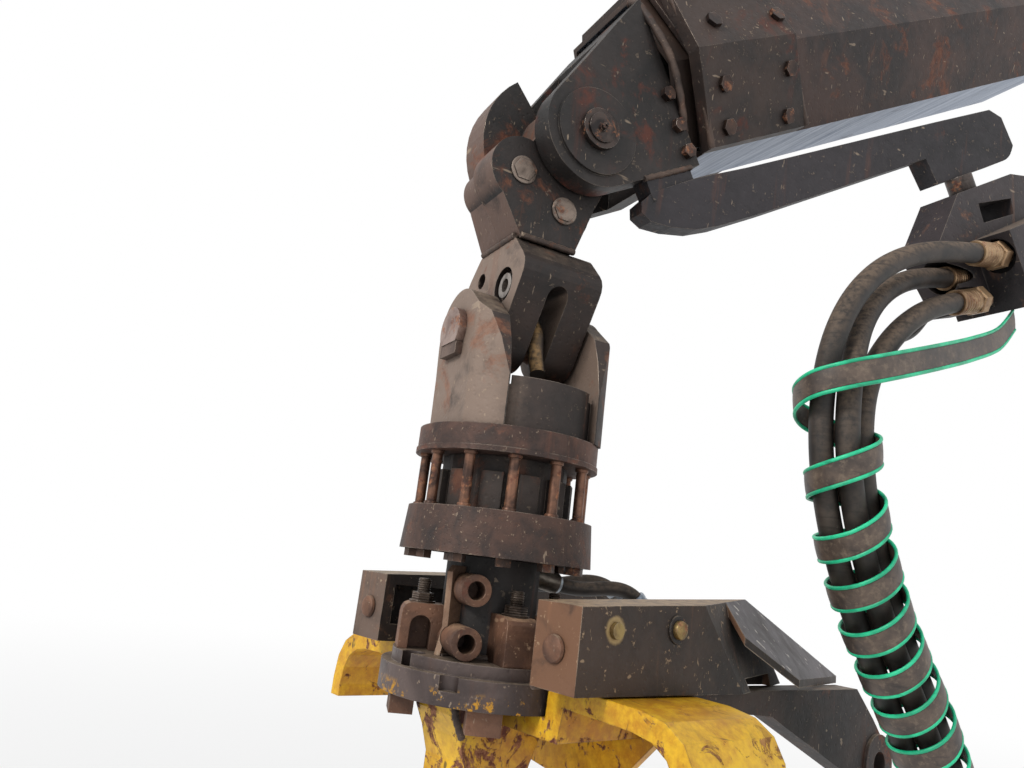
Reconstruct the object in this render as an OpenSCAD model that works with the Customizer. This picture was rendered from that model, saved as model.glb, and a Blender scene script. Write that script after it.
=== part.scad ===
// Front end of a harvester crane: telescopic stick, tip fork, cross-jointed link, rotator and the
// hanger above the felling head, with the hose bundle at its side. Millimetres, +Z up.
// The origin is the middle of the stick's cut end; the stick points to -X and down.

/* [Stick] */
// Angle between the stick and the plane square to the hanging rotator
boom_rise = 31; // [24:1:36]
// Distance along the stick from the tip pin to the cut end
cut_length = 1700; // [1600:10:1900]
// Height of the stick's centre line above the tip pin
boom_lift = 92; // [86:1:98]
// Width of the outer tube at its side corners
tube_w = 320; // [300:2:330]
// Width of the outer tube's flat top and bottom
tube_flat = 210; // [196:2:220]
// Height of the outer tube
tube_h = 336; // [326:2:344]
// Wall of the outer tube
tube_wall = 10; // [8:1:12]
// Gap between the outer tube and the extension, filled by wear pads
pad_gap = 8; // [7:1:10]
// Running clearance between a wear pad and the extension
pad_clear = 0.4; // [0.3:0.1:0.6]
// Wall of the extension
ext_wall = 9; // [8:1:11]
// Distance from the tip pin to the collar's front
collar_front = 245; // [238:1:262]
// Length of the collar
collar_len = 255; // [240:5:270]
// Thickness of the collar plate
collar_t = 26; // [20:1:28]
// Distance from the tip pin to the extension's rear end
ext_rear = 1390; // [1340:10:1450]
// Diameter of the pad screws
pad_screw_d = 22; // [18:1:24]

/* [Tip fork] */
// Diameter of the tip pin
pin_a_d = 60; // [50:1:66]
// Radius of the fork's round end
fork_r = 98; // [92:1:102]
// Distance between the fork's cheeks
fork_gap = 152; // [148:1:158]
// Thickness of a cheek
fork_cheek = 45; // [40:1:50]
// Distance from the tip pin to the fork's joint face
fork_back = 205; // [195:1:210]
// Height of the round boss on a cheek
fork_boss_t = 5; // [3:1:8]
// Radius of the round boss on a cheek
fork_boss_r = 78; // [66:1:82]

/* [Link] */
// Tip pin, ahead of the rotator's axis
pin_a_ahead = 34; // [24:1:40]
// Tip pin, above the middle of the rotator's upper ring
pin_a_up = 553; // [540:1:566]
// Lower link pin, above the middle of the rotator's upper ring
pin_d_up = 182; // [176:1:190]
// Diameter of the lower link pin
pin_d_d = 50; // [44:1:56]
// Radial running clearance of both link pins
pin_clear = 0.05; // [0.02:0.01:0.1]
// Clearance between a link eye and the cheek beside it
eye_clear = 6; // [5:0.5:7]
// Radius of the link's eye on the tip pin
eye_a_r = 84; // [78:1:86]
// Radius of the link's eye on the lower pin
eye_d_r = 48; // [44:1:50]
// Distance from the tip pin to the two through bolts
bolt_reach = 138; // [134:1:142]
// Diameter of the through bolts
thru_bolt_d = 30; // [26:1:34]
// Width of the middle link between its side faces, fore and aft
mid_x = 150; // [142:1:152]
// Distance of the link's and the clevis's middle from the rotator's axis
link_off = 8; // [0:1:10]
// Width of the middle link at its shoulders, side to side
mid_y = 232; // [220:2:240]
// Width of the slot for the hose in the middle link
slot_w = 38; // [34:1:42]
// Height of the slot's arch above the upper ring's middle
slot_top = 268; // [260:1:274]

/* [Rotator] */
// Diameter of the upper ring
ring_d = 300; // [290:1:310]
// Height of the upper ring, with its lip
ring_h = 41; // [38:1:46]
// Distance between the two rings
ring_gap = 84; // [80:1:90]
// Diameter of the lower ring at its top
low_top_d = 298; // [290:1:302]
// Diameter of the lower ring at its bottom
low_bot_d = 308; // [304:1:314]
// Height of the lower ring
low_h = 68; // [64:1:74]
// Number of tie bolts between the rings
tie_n = 12; // [8:1:14]
// Diameter of a tie bolt
tie_d = 16; // [14:1:18]
// Pitch circle of the tie bolts
tie_pcd = 264; // [262:1:268]
// Diameter of the stator body between the rings
stator_d = 206; // [190:2:212]
// Height of the clevis cup above the upper ring
cup_h = 82; // [76:1:86]
// Diameter of the clevis cup
cup_d = 256; // [248:2:260]
// Thickness of the clevis cheek away from the machine
clevis_cheek = 47; // [40:1:48]
// Thickness of the clevis cheek towards the machine
clevis_thin = 30; // [28:1:47]

/* [Hanger] */
// Turn of the hanger about the rotator's axis as the piece stands
hang_yaw = 13; // [0:1:20]
// Diameter of the rotor neck under the lower ring
neck_d = 150; // [144:2:154]
// Height of the grey disc's top below the upper ring's middle
disc_drop = 338; // [336:1:342]
// Thickness of the grey disc
disc_t = 40; // [36:1:44]
// Height of the step on the disc
step_t = 18; // [14:1:20]
// Diameter of the grey disc
disc_d = 312; // [306:2:316]
// Diameter of a port tube
port_d = 46; // [42:1:48]
// Bore of a port tube
port_bore = 27; // [22:1:30]
// Distance from the rotator's axis to a guard box's inner face
guard_in = 190; // [186:1:194]
// Width of a guard box
guard_w = 82; // [78:1:86]
// Plate thickness of the guard boxes
guard_plate = 8; // [6:1:10]
// Width of the yellow arch
arch_w = 197; // [185:1:200]
// Plate thickness of the yellow arch
arch_t = 28; // [22:1:32]
// Half the span of the yellow arch
arch_half = 418; // [405:1:430]
// Diameter of the head's hinge pins
head_pin_d = 50; // [45:1:60]

/* [Hoses] */
// Outer diameter of a large hose
hose_d = 38; // [34:1:39]
// Diameter of the thin hose
thin_d = 16; // [12:1:18]
// Outer diameter of the spiral guard
spiral_d = 120; // [118:1:124]
// Width of the spiral guard's strip
strip_w = 33; // [30:1:40]
// Distance between two turns of the spiral guard
strip_pitch = 78; // [72:1:84]

/* [Hidden] */
eps = 0.01;
through = 2;          // how far a cut runs past a face
// tip pin in the part's frame
ax = -(cut_length * cos(boom_rise) - boom_lift * sin(boom_rise));
az = -(cut_length * sin(boom_rise) + boom_lift * cos(boom_rise));
// rotator axis and the middle of its upper ring
rx = ax - pin_a_ahead;
rz = az - pin_a_up;
// outlines of the tubes: slope of the flanks and how an inset moves them
flank = (tube_w - tube_flat) / tube_h;
// point where the line from p touches the circle of radius r about c
function touch(p, c, r, s) = let (v = p - c, t = atan2(v[1], v[0]) + s * acos(r / norm(v))) c + r * [cos(t), sin(t)];
function hexa(d) = let (h = tube_h / 2 - d, m = tube_w / 2 - d * sqrt(1 + flank * flank), f = m - h * flank)
    [[m, 0], [f, h], [-f, h], [-m, 0], [-f, -h], [f, -h]];
// rounds the corner p between a and b, starting d before it
function unit(v) = v / norm(v);
function soft(a, p, b, d) = [for (t = [0:0.25:1]) p + pow(1 - t, 2) * d * unit(a - p) + t * t * d * unit(b - p)];
ext_inset = tube_wall + pad_gap;
fork_out = fork_gap / 2 + fork_cheek;
link_half = fork_gap / 2 - eye_clear;
up_top = ring_h / 2;
low_top = -ring_h / 2 - ring_gap;
low_bot = low_top - low_h;
disc_step = -disc_drop + step_t;
clevis_in = mid_x / 2 + eye_clear;
// Cheeks of the clevis: [side, outer face from the link's middle, thickness]
cheeks = [[-1, clevis_in + clevis_cheek, clevis_cheek], [1, clevis_in + clevis_thin, clevis_thin]];
pin_d_span = cheeks[0][1] + cheeks[1][1];
pin_d_mid = (cheeks[1][1] - cheeks[0][1]) / 2;
// through bolts, from the tip pin: [name, angle below the horizontal towards -X]
thru_bolts = [[0, 220.5], [1, 262]];
tip_slope = 29;

C_STEEL = [0.20, 0.16, 0.14];
C_DARK = [0.12, 0.11, 0.11];
C_LIGHT = [0.45, 0.40, 0.37];
C_RUST = [0.42, 0.26, 0.17];
C_PIN = [0.35, 0.33, 0.32];
C_PAD = [0.75, 0.72, 0.62];
C_DISC = [0.45, 0.42, 0.44];
C_YELLOW = [0.80, 0.58, 0.05];
C_HOSE = [0.10, 0.09, 0.09];
C_GREEN = [0.05, 0.55, 0.35];
C_BOLT = [0.55, 0.48, 0.25];

$fn = 64;

// Children are given along the stick: x from the tip pin towards the cut end, z square to it.
module at_tip() { translate([ax, 0, az]) rotate([0, -boom_rise, 0]) children(); }
// Children are given from the middle of the rotator's upper ring.
module at_rotor() { translate([rx, 0, rz]) children(); }
// The same, turned with the hanger.
module at_hanger() { at_rotor() rotate([0, 0, hang_yaw]) children(); }
// Removes all that lies beyond the plane through p with its normal at azimuth a and elevation e.
module beyond(p, a, e) { translate(p) rotate([0, -e, a]) translate([0, -1500, -1500]) cube(3000); }
// Extrudes a YZ outline along +X by l.
module along_x(l) { rotate([90, 0, 90]) linear_extrude(height = l) children(); }
// Extrudes an XZ outline across Y, centred, by w.
module across_y(w) { translate([0, w / 2, 0]) rotate([90, 0, 0]) linear_extrude(height = w) children(); }
module rod_y(d, w) { translate([0, w / 2, 0]) rotate([90, 0, 0]) cylinder(d = d, h = w); }
module rod_x(d, w) { translate([-w / 2, 0, 0]) rotate([0, 90, 0]) cylinder(d = d, h = w); }

module stick_tube() color(C_STEEL) at_tip() translate([collar_front, 0, boom_lift])
    difference() {
        along_x(cut_length - collar_front) polygon(hexa(0));
        translate([-through, 0, 0]) along_x(cut_length - collar_front + 2 * through) polygon(hexa(tube_wall));
    }

// Doubler plates on the flanks and the top, bare below; the ends run back and forth with the height.
collar_ends = [[28, 200], [-14, 0], [-5, -200], [collar_len + 20, -200], [collar_len + 7, 0], [collar_len + 7, 200]];
module stick_collar() color(C_STEEL) at_tip() translate([collar_front, 0, boom_lift])
    difference() {
        intersection() {
            translate([-60, 0, 0]) along_x(collar_len + 120) polygon(hexa(-collar_t));
            across_y(600) polygon(collar_ends);
        }
        translate([-100, 0, 0]) along_x(collar_len + 200) polygon(hexa(0));
        translate([-100, -300, -tube_h / 2 - 100]) cube([collar_len + 200, 600, 100]);
    }

// Pad screws on both flanks: [distance behind the collar's front, height from the centre line]
screw_spots = [[65, 50], [43, -66], [42, -139], [242, 45], [233, -60], [217, -143], [75, 128], [240, 128]];
pad_screw_h = 8;
module pad_screws() color(C_PIN) at_tip() translate([collar_front, 0, boom_lift])
    for (s = screw_spots, side = [-1, 1])
        translate([s[0], side * (tube_w / 2 + collar_t * sqrt(1 + flank * flank) - abs(s[1]) * flank), s[1]])
            rotate([side * (-90 + (s[1] > 0 ? atan(flank) : -atan(flank))), 0, 0])
                cylinder(d = pad_screw_d * 1.5, h = pad_screw_h, $fn = 6);

pad_len = 120;
pad_rows = [30, collar_len + 260];
module wear_pads() color(C_PAD) at_tip() for (x = pad_rows) translate([collar_front + x, 0, boom_lift])
    intersection() {
        difference() {
            along_x(pad_len) polygon(hexa(tube_wall));
            translate([-through, 0, 0]) along_x(pad_len + 2 * through) polygon(hexa(ext_inset - pad_clear));
        }
        for (s = [-1, 1]) translate([pad_len / 2, 0, s * tube_h / 2]) cube([pad_len + 2, tube_flat - 40, 120], center = true);
    }

module ext_tube() color(C_DARK) at_tip() translate([fork_back, 0, boom_lift])
    difference() {
        along_x(ext_rear - fork_back) polygon(hexa(ext_inset));
        translate([-through, 0, 0]) along_x(ext_rear - fork_back + 2 * through) polygon(hexa(ext_inset + ext_wall));
    }

fork_web = 80;
module fork_outline() {
    circle(r = fork_r);
    polygon([[0, -fork_r], [fork_back, -fork_r], [fork_back, 226], [30, 128],
        [-fork_r * sin(tip_slope), fork_r * cos(tip_slope)]]);
}
module tip_fork() color(C_DARK) at_tip() difference() {
    union() {
        for (s = [-1, 1]) translate([0, s * (fork_gap / 2 + fork_cheek / 2), 0]) across_y(fork_cheek) fork_outline();
        for (s = [-1, 1]) translate([0, s * (fork_out + fork_boss_t / 2), 0]) rod_y(2 * fork_boss_r, fork_boss_t);
        intersection() {
            across_y(fork_gap) fork_outline();
            translate([fork_back - fork_web, -fork_gap, -400]) cube([fork_web, 2 * fork_gap, 800]);
            // leaves room for the link head's hump
            difference() {
                translate([0, -fork_gap, -400]) cube([400, 2 * fork_gap, 800]);
                rod_y(2 * (hump[2] + eye_clear), 3 * fork_gap);
            }
        }
    }
    rod_y(pin_a_d, 2 * (fork_out + fork_boss_t) + 2 * through);
}

module tip_bolts() color(C_PIN) at_tip() for (z = [40, -20, -70], s = [-1, 1])
    translate([fork_back - 20, s * fork_out, z]) rotate([-90 * s, 0, 0]) cylinder(d = 28, h = 12, $fn = 6);

pin_a_head = 10;
module pin_a() color(C_PIN) at_tip() {
    rod_y(pin_a_d, 2 * (fork_out + fork_boss_t));
    for (s = [-1, 1]) translate([0, s * (fork_out + fork_boss_t + pin_a_head / 2), 0]) rod_y(pin_a_d + 12, pin_a_head);
}

// Arm that carries the hoses under the stick; its outline is along the arm and square to the stick.
arm_root = [100, -100, 0];
arm_out = 9.35;
arm_w = 44;
arm_line = concat([[77, -122], [193, -131], [393, -141], [688, -156], [858, -166], [886, -190], [892, -256]],
    soft([892, -256], [868, -280], [640, -280], 20), [[640, -280], [632, -222], [439, -221], [203, -220], [90, -217], [38, -210],
    [-10, -192], [-45, -172], [-57, -152], [-50, -134], [-20, -123]]);
module hose_arm() color(C_DARK) at_tip() {
    translate(arm_root) rotate([0, 0, -arm_out]) across_y(arm_w) polygon(arm_line);
    // foot welded under the fork's near cheek
    translate([70, -fork_out + 2, -140]) cube([110, fork_cheek - 8, 140 - fork_r]);
}

// Children from the tip pin, upright.
module at_pin_a() { translate([ax, 0, az]) children(); }
function bolt_at(a) = [bolt_reach * cos(a), bolt_reach * sin(a)];
seat = 0.02;          // gap between two welded faces
// Halves of the link head: [start and end across the fork, radius of the outer lobe]
head_halves = [[-link_half, 0, 60], [0, link_half, 46]];
// Hump on the far half, round the tip pin: [first angle, last angle, radius]
hump = [132, 215, 158];
module link_head() color(C_DARK) difference() {
    at_pin_a() for (h = head_halves) translate([0, (h[0] + h[1]) / 2, 0]) across_y(h[1] - h[0]) {
        circle(r = eye_a_r);
        translate(bolt_at(thru_bolts[0][1])) circle(r = h[2]);
        translate(bolt_at(thru_bolts[1][1])) circle(r = 50);
        if (h[0] == 0) polygon(concat([[0, 0]], [for (k = [0:10]) let (a = hump[0] + k * (hump[1] - hump[0]) / 10) hump[2] * [cos(a), sin(a)]]));
        polygon([[-60, 30], bolt_at(thru_bolts[0][1]) + [-0.7, -0.6] * h[2], [-96, -pin_a_up + mid_top + seat],
            [10, -pin_a_up + mid_top + seat], [41, -113], [80, -20]]);
    }
    at_pin_a() rod_y(pin_a_d + 2 * pin_clear, 400);
    at_pin_a() for (b = thru_bolts) translate([bolt_at(b[1])[0], 0, bolt_at(b[1])[1]]) rod_y(thru_bolt_d, 400);
}

module link_bolts() color(C_PIN) at_pin_a() for (b = thru_bolts) translate([bolt_at(b[1])[0], 0, bolt_at(b[1])[1]])
    rod_y(thru_bolt_d, 2 * link_half + 6);

mid_top = 349;
mid_shoulder = 290;
mid_cap = 60;
module mid_outline() {
    c = [0, pin_d_up];
    r = [mid_y / 2, mid_shoulder];
    l = [-mid_y / 2, mid_shoulder];
    tr = touch(r, c, eye_d_r, -1);
    tl = touch(l, c, eye_d_r, 1);
    polygon(concat(soft(l, [-mid_cap, mid_top], [mid_cap, mid_top], 12), soft([-mid_cap, mid_top], [mid_cap, mid_top], r, 12),
        soft([mid_cap, mid_top], r, tr, 26), [tr, tl], soft(tl, l, [-mid_cap, mid_top], 26)));
}
// Round recess and small hole in the -X face: [across, height, radius, depth]
recess = [-40, 267, 31, 14];
spy = [50, 298, 14, 40];
mid_back = link_off - mid_x / 2;
module middle_link() color(C_LIGHT) at_rotor() difference() {
    union() {
        translate([mid_back, 0, 0]) along_x(mid_x) mid_outline();
        translate([link_off, 0, pin_d_up]) rod_x(2 * eye_d_r, mid_x);
    }
    translate([0, 0, pin_d_up]) rod_x(pin_d_d + 2 * pin_clear, 400);
    translate([link_off, 0, 0]) across_y(400) {
        translate([0, slot_top - slot_w / 2]) circle(d = slot_w);
        translate([-slot_w / 2, 0]) square([slot_w, slot_top - slot_w / 2]);
    }
    for (h = [recess, spy]) translate([mid_back - through, h[0], h[1]]) rotate([0, 90, 0]) cylinder(r = h[2], h = h[3] + through);
}

ring_in_recess = 0.7;
module recess_ring() color(C_PIN) at_rotor() translate([mid_back + recess[3], recess[0], recess[1]]) rotate([0, -90, 0]) difference() {
    cylinder(r = recess[2] * ring_in_recess, h = recess[3] - 3);
    translate([0, 0, -through]) cylinder(r = recess[2] * 0.38, h = recess[3] + 10);
}

cheek_r = 72;
cheek_wrap = 146;
module clevis_outline() {
    translate([0, pin_d_up]) circle(r = cheek_r);
    polygon([[60, up_top], [64, 108], [cheek_r, pin_d_up], [-cheek_r * 0.5, pin_d_up + cheek_r * 0.87],
        [-92, 200], [-108, 158], [-120, up_top + cup_h], [-120, up_top]]);
}
cup_pocket = 14;
module clevis() color(C_LIGHT) at_rotor() translate([link_off, 0, 0]) difference() {
    union() {
        translate([0, 0, up_top]) cylinder(d = cup_d, h = cup_h);
        intersection() {
            for (c = cheeks) translate([c[0] > 0 ? clevis_in : -c[1], 0, 0]) along_x(c[2]) clevis_outline();
            translate([0, 0, up_top]) cylinder(r = cheek_wrap, h = 400);
        }
    }
    translate([0, 0, pin_d_up]) rod_x(pin_d_d, 500);
    translate([-clevis_in, -cup_d / 2 + 22, up_top + cup_h - cup_pocket]) cube([2 * clevis_in, cup_d - 44, 400]);
}

pin_cap_t = 14;
cap_d = 74;
cap_flat = 25;
module pin_d() color(C_PIN) at_rotor() translate([link_off, 0, pin_d_up]) difference() {
    union() {
        translate([pin_d_mid, 0, 0]) rod_x(pin_d_d, pin_d_span);
        for (c = cheeks) translate([c[0] * (c[1] + pin_cap_t / 2), 0, 0]) rod_x(cap_d, pin_cap_t);
    }
    for (c = cheeks) translate([c[0] * (c[1] + pin_cap_t) - (c[0] > 0 ? pin_cap_t : 0), -100, -cap_flat - 100]) cube([pin_cap_t, 200, 100]);
}

stop_h = 20;
module pin_stops() color(C_LIGHT) at_rotor() translate([link_off, 0, pin_d_up - cap_flat - stop_h])
    for (c = cheeks) translate([c[0] > 0 ? c[1] : -c[1] - 12, -30, 0]) cube([12, 60, stop_h]);

lip_h = 8;
module upper_ring() color(C_STEEL) at_rotor() {
    translate([0, 0, -ring_h / 2 + lip_h]) cylinder(d = ring_d - 4, h = ring_h - lip_h);
    translate([0, 0, -ring_h / 2]) cylinder(d = ring_d, h = lip_h);
}

module tie_bolts() color(C_PIN) at_rotor() for (i = [0:tie_n - 1]) rotate([0, 0, i * 360 / tie_n + 8])
    translate([tie_pcd / 2, 0, low_top]) cylinder(d = tie_d, h = ring_gap);

plate_t = 12;
plate_w = 34;
module stator() color(C_DARK) at_rotor() {
    rotate([0, 0, 8]) translate([0, 0, low_top]) cylinder(d = stator_d, h = ring_gap, $fn = tie_n);
    for (i = [0:tie_n - 1]) rotate([0, 0, (i + 0.5) * 360 / tie_n + 8])
        translate([stator_d / 2 * cos(180 / tie_n) - 2, -plate_w / 2, low_top]) cube([plate_t + 2, plate_w, ring_gap * 0.7]);
}

module lower_ring() color(C_STEEL) at_rotor() translate([0, 0, low_bot]) cylinder(d1 = low_bot_d, d2 = low_top_d, h = low_h);

module ring_bolts() color(C_PIN) at_rotor() for (i = [0:tie_n - 1]) rotate([0, 0, i * 360 / tie_n + 8])
    translate([tie_pcd / 2, 0, low_bot - 12]) cylinder(d = 26, h = 12, $fn = 6);

neck_gap = 0.5;
neck_top = low_bot - neck_gap;
module neck() color(C_DARK) at_hanger() translate([0, 0, -disc_drop]) cylinder(d = neck_d, h = neck_top + disc_drop);

// Port tubes at the neck's side: [mouth x, mouth y, height, direction, depth of the bore]; each runs back against the neck.
ports = [[-89, -74, -222, 249, 38], [-101, -81, -296, 249, 56]];
port_l = 74;
module port_rods(d) for (p = ports) translate([p[0], p[1], p[2]]) rotate([0, 0, p[3]]) translate([-port_l, 0, 0]) rotate([0, 90, 0])
    cylinder(d = d, h = port_l);
module port_tubes() color(C_RUST) at_hanger() difference() {
    port_rods(port_d);
    for (p = ports) translate([p[0], p[1], p[2]]) rotate([0, 0, p[3]]) translate([-p[4], 0, 0]) rotate([0, 90, 0])
        cylinder(d = port_bore, h = port_l);
    translate([0, 0, -disc_drop]) cylinder(d = neck_d, h = 300);
}

// Lugs round the neck: [turn, width]. Each has a stud on top and an arched pocket below it.
lug_table = [[150, 54], [252, 48], [330, 54], [72, 48]];
lug_top = -252;
lug_r = 137;
lug_stud_r = 106;
lug_round = 18;
module lug_side() polygon(concat([[neck_d / 2 - 6, 0], [neck_d / 2 - 6, lug_top - disc_step]],
    soft([neck_d / 2 - 6, lug_top - disc_step], [lug_r, lug_top - disc_step], [lug_r, 0], lug_round), [[lug_r, 0]]));
module lugs() color(C_RUST) at_hanger() difference() {
    for (l = lug_table) rotate([0, 0, l[0]]) translate([0, 0, disc_step]) across_y(l[1]) lug_side();
    translate([0, 0, -disc_drop - through]) cylinder(d = neck_d, h = 200);
    for (l = lug_table) rotate([0, 0, l[0]]) translate([lug_stud_r, 0, disc_step]) translate([0, l[1] / 2 + 10, 0]) rotate([90, 0, 0]) {
        translate([0, lug_top - disc_step - 34, 0]) cylinder(r = 16, h = l[1] - 8);
        translate([-16, -through, 0]) cube([32, lug_top - disc_step - 34 + through, l[1] - 8]);
    }
}

module lug_studs() color(C_PIN) at_hanger() for (l = lug_table) rotate([0, 0, l[0]]) translate([lug_stud_r, 0, lug_top]) {
    cylinder(d = 34, h = 15, $fn = 6);
    translate([0, 0, 15]) cylinder(d = 19, h = 20);
}

rib_turn = 192;
rib_r = 104;
rib_top = -190;
module rib() color(C_RUST) at_hanger() difference() {
    rotate([0, 0, rib_turn]) translate([0, 0, disc_step]) across_y(11)
        polygon([[neck_d / 2 - 5, 0], [rib_r + 6, 0], [rib_r - 4, 40], [rib_r, rib_top - disc_step - 10],
            [rib_r - 8, rib_top - disc_step], [neck_d / 2 - 5, rib_top - disc_step]]);
    translate([0, 0, -disc_drop - through]) cylinder(d = neck_d, h = 200);
    port_rods(port_d + 1);
}

// Notches in the disc: [turn, reach, radius]
disc_notches = [[178, 128, 17], [214, 158, 14], [40, 158, 18]];
step_d = disc_d - 30;
module disc() color(C_DISC) at_hanger() difference() {
    union() {
        translate([0, 0, -disc_drop - disc_t]) cylinder(d = disc_d, h = disc_t);
        translate([0, 0, -disc_drop]) cylinder(d = step_d, h = step_t);
    }
    translate([0, 0, -disc_drop]) cylinder(d = neck_d, h = 100);
    for (n = disc_notches) rotate([0, 0, n[0]]) translate([n[1], 0, -disc_drop - disc_t / 2]) cylinder(r = n[2], h = 60);
}

// Arch under the disc: a band bent to a hat, carried by two webs.
arch_x = -14;
arch_top = -331;
arch_drop = -disc_drop - disc_t;
arch_foot = -458;
hat_out = concat([[0, arch_drop], [disc_d / 2 + 8, arch_drop]], [[disc_d / 2 + 10, arch_top]],
    soft([disc_d / 2 + 10, arch_top], [arch_half, arch_top - 4], [arch_half, arch_foot], 92), [[arch_half, arch_foot]]);
hat_in = concat([[arch_half - arch_t, arch_foot]],
    soft([arch_half - arch_t, arch_foot], [arch_half - arch_t, arch_top - arch_t - 4], [disc_d / 2, arch_top - arch_t], 74),
    [[disc_d / 2 + 42, arch_top - arch_t], [disc_d / 2 + 34, arch_drop - arch_t], [0, arch_drop - arch_t]]);
// webs under the band: [x, thickness, inner edge as [y, z]]
web_t = 16;
web_deep = [[arch_half - arch_t - 58, arch_foot], [arch_half - 130, arch_foot + 46], [arch_half - 200, arch_foot + 52],
    [150, arch_foot - 20], [0, arch_foot - 40]];
module hat() { polygon(concat(hat_out, hat_in)); }
module arch() color(C_YELLOW) at_hanger() difference() {
    union() for (s = [0, 1]) mirror([0, s, 0]) {
        translate([arch_x, 0, 0]) along_x(arch_w) hat();
        translate([arch_x + arch_w - web_t, 0, 0]) along_x(web_t) polygon(concat(hat_out, web_deep));
    }
    translate([0, 0, arch_drop]) cylinder(d = disc_d + 1, h = 200);
}

// Stem under the disc, narrow below, with the eye of the tilt cylinder's pin.
stem_w = 96;
stem_eye = [0, -640];
stem_eye_r = 58;
stem_line = concat([[-84, arch_drop], [-80, arch_drop - 22], [-64, arch_drop - 52], [-50, arch_drop - 90], [-50, -600]],
    [[-40, stem_eye[1]], [40, stem_eye[1]]], [[50, -600], [arch_x + arch_w - web_t - 90, arch_drop - arch_t - 70],
    [arch_x + arch_w - web_t - 60, arch_drop - arch_t], [arch_x, arch_drop - arch_t], [arch_x, arch_drop]]);
module stem() color(C_YELLOW) at_hanger() difference() {
    union() {
        across_y(stem_w) polygon(stem_line);
        translate([stem_eye[0], 0, stem_eye[1]]) rod_y(2 * stem_eye_r, stem_w);
    }
    translate([stem_eye[0], 0, stem_eye[1]]) rod_y(head_pin_d, 300);
}

// Lugs below the disc: [turn, width]
under_table = [[150, 54], [235, 50]];
module under_lugs() color(C_RUST) at_hanger() for (l = under_table) rotate([0, 0, l[0]])
    translate([lug_r - 37, -l[1] / 2, arch_drop - 34]) cube([36, l[1], 34]);

// Guard boxes: side outline as [x, z], open below, cut by sloping planes at the far end.
guard_line = [[-75, -330], [-75, -220], [426, -189], [690, -280], [690, -330]];
guard_floor = -330;
// cutting planes: [point, azimuth, elevation of the normal]
guard_cuts = [[[188, -270, -201], -73.5, 37.2], [[188, -270, -196], -71.9, 15.7]];
module guard_body(d) difference() {
    translate([0, -guard_in - guard_w / 2, 0]) across_y(guard_w - 2 * d) offset(delta = -d) polygon(guard_line);
    for (c = guard_cuts) beyond(c[0] - d * [0, -1.3, 1], c[1], c[2]);
}
module guard_box() {
    difference() {
        guard_body(0);
        guard_body(guard_plate);
        // open below
        translate([60, -guard_in - guard_w + guard_plate + 6, guard_floor - 10]) cube([420, guard_w - 2 * guard_plate - 6, 30]);
    }
    // sloping plate that closes the far end
    difference() {
        translate([0, -guard_in - guard_w / 2, 0]) across_y(guard_w) polygon(slope_line);
        beyond(guard_cuts[0][0], guard_cuts[0][1], guard_cuts[0][2]);
        translate(guard_cuts[0][0] - [0, 0, 1.65 * guard_plate]) rotate([0, 180 - guard_cuts[0][2], guard_cuts[0][1]]) translate([0, -1500, -1500]) cube(3000);
        beyond(slope_end[0], slope_end[1], 0);
    }
}
slope_line = [[300, -330], [300, -197], [426, -189], [767, -307], [767, -330]];
slope_end = [[477, -270, 0], -74.6];
module guard_near() color(C_RUST) at_hanger() guard_box();
// The far box is open towards the rotator.
module guard_far() color(C_RUST) at_hanger() mirror([0, 1, 0]) difference() {
    guard_box();
    translate([-55, -guard_in - 40, -302]) cube([210, 60, 66]);
}

// Bolts of the guard boxes: [x, z, diameter] on the sides, and one round head in each end.
side_bolts = [[124, -241, 25], [-9, -247, 22]];
end_bolt = [-230, -278, 30];
module guard_bolts() color(C_BOLT) at_hanger() for (m = [0, 1]) mirror([0, m, 0]) {
    for (b = side_bolts) translate([b[0], -guard_in - guard_w, b[1]]) rotate([90, 0, 0]) cylinder(d = b[2], h = 7);
    translate([-75, end_bolt[0], end_bolt[1]]) rotate([0, -90, 0]) cylinder(d = end_bolt[2], h = 5);
}

// Arms that carry the head's hinge, under the boxes.
arm_y = 204;
arm_plate = 44;
arm_eye = [820, -470];
arm_eye_r = 56;
arm_start = arch_x + arch_w;
arm_lines = [[arm_start, guard_floor - 0.5], [arm_start, -352], [430, -372], [745, -497], [790, -520], [860, -500],
    [872, -450], [806, -388], [735, guard_floor - 0.5]];
module arm_side() color(C_DARK) difference() {
    union() {
        translate([0, -arm_y - arm_plate / 2, 0]) across_y(arm_plate) polygon(arm_lines);
        translate([arm_eye[0], -arm_y - arm_plate / 2, arm_eye[1]]) rod_y(2 * arm_eye_r, arm_plate + 12);
    }
    translate([arm_eye[0], -arm_y, arm_eye[1]]) rod_y(head_pin_d, 300);
}
module arm_near() at_hanger() arm_side();
module arm_far() at_hanger() mirror([0, 1, 0]) arm_side();

// Hose bracket under the arm's lug, along the stick from the tip pin.
bracket_y = -250;
bracket_w = 78;
pin_spot = [795, -282];
module swivel_pin() color(C_PIN) at_tip() translate([pin_spot[0], -232, -312]) cylinder(d = 52, h = 32);
block_at = [660, -360, -560];
block_size = [240, 150, 150];
bracket_line = [[668, -312], [880, -312], [945, -330], [985, -372], [1000, -560], [900, -560], [640, -545], [580, -532], [546, -392]];
module hose_bracket() color(C_DARK) difference() {
    at_tip() {
        translate([0, bracket_y, 0]) across_y(bracket_w) polygon(bracket_line);
        translate([block_at[0], block_at[1], block_at[2]]) cube(block_size);
    }
    at_tip() translate([0, bracket_y, 0]) across_y(400) polygon([[726, -345], [850, -360], [840, -392], [722, -385]]);
    at_rotor() for (c = hose_curves) on_end(c[0], c[1]) translate([0, 0, -300]) cylinder(d = hose_d + 26, h = fitting_l + 300);
}

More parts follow.
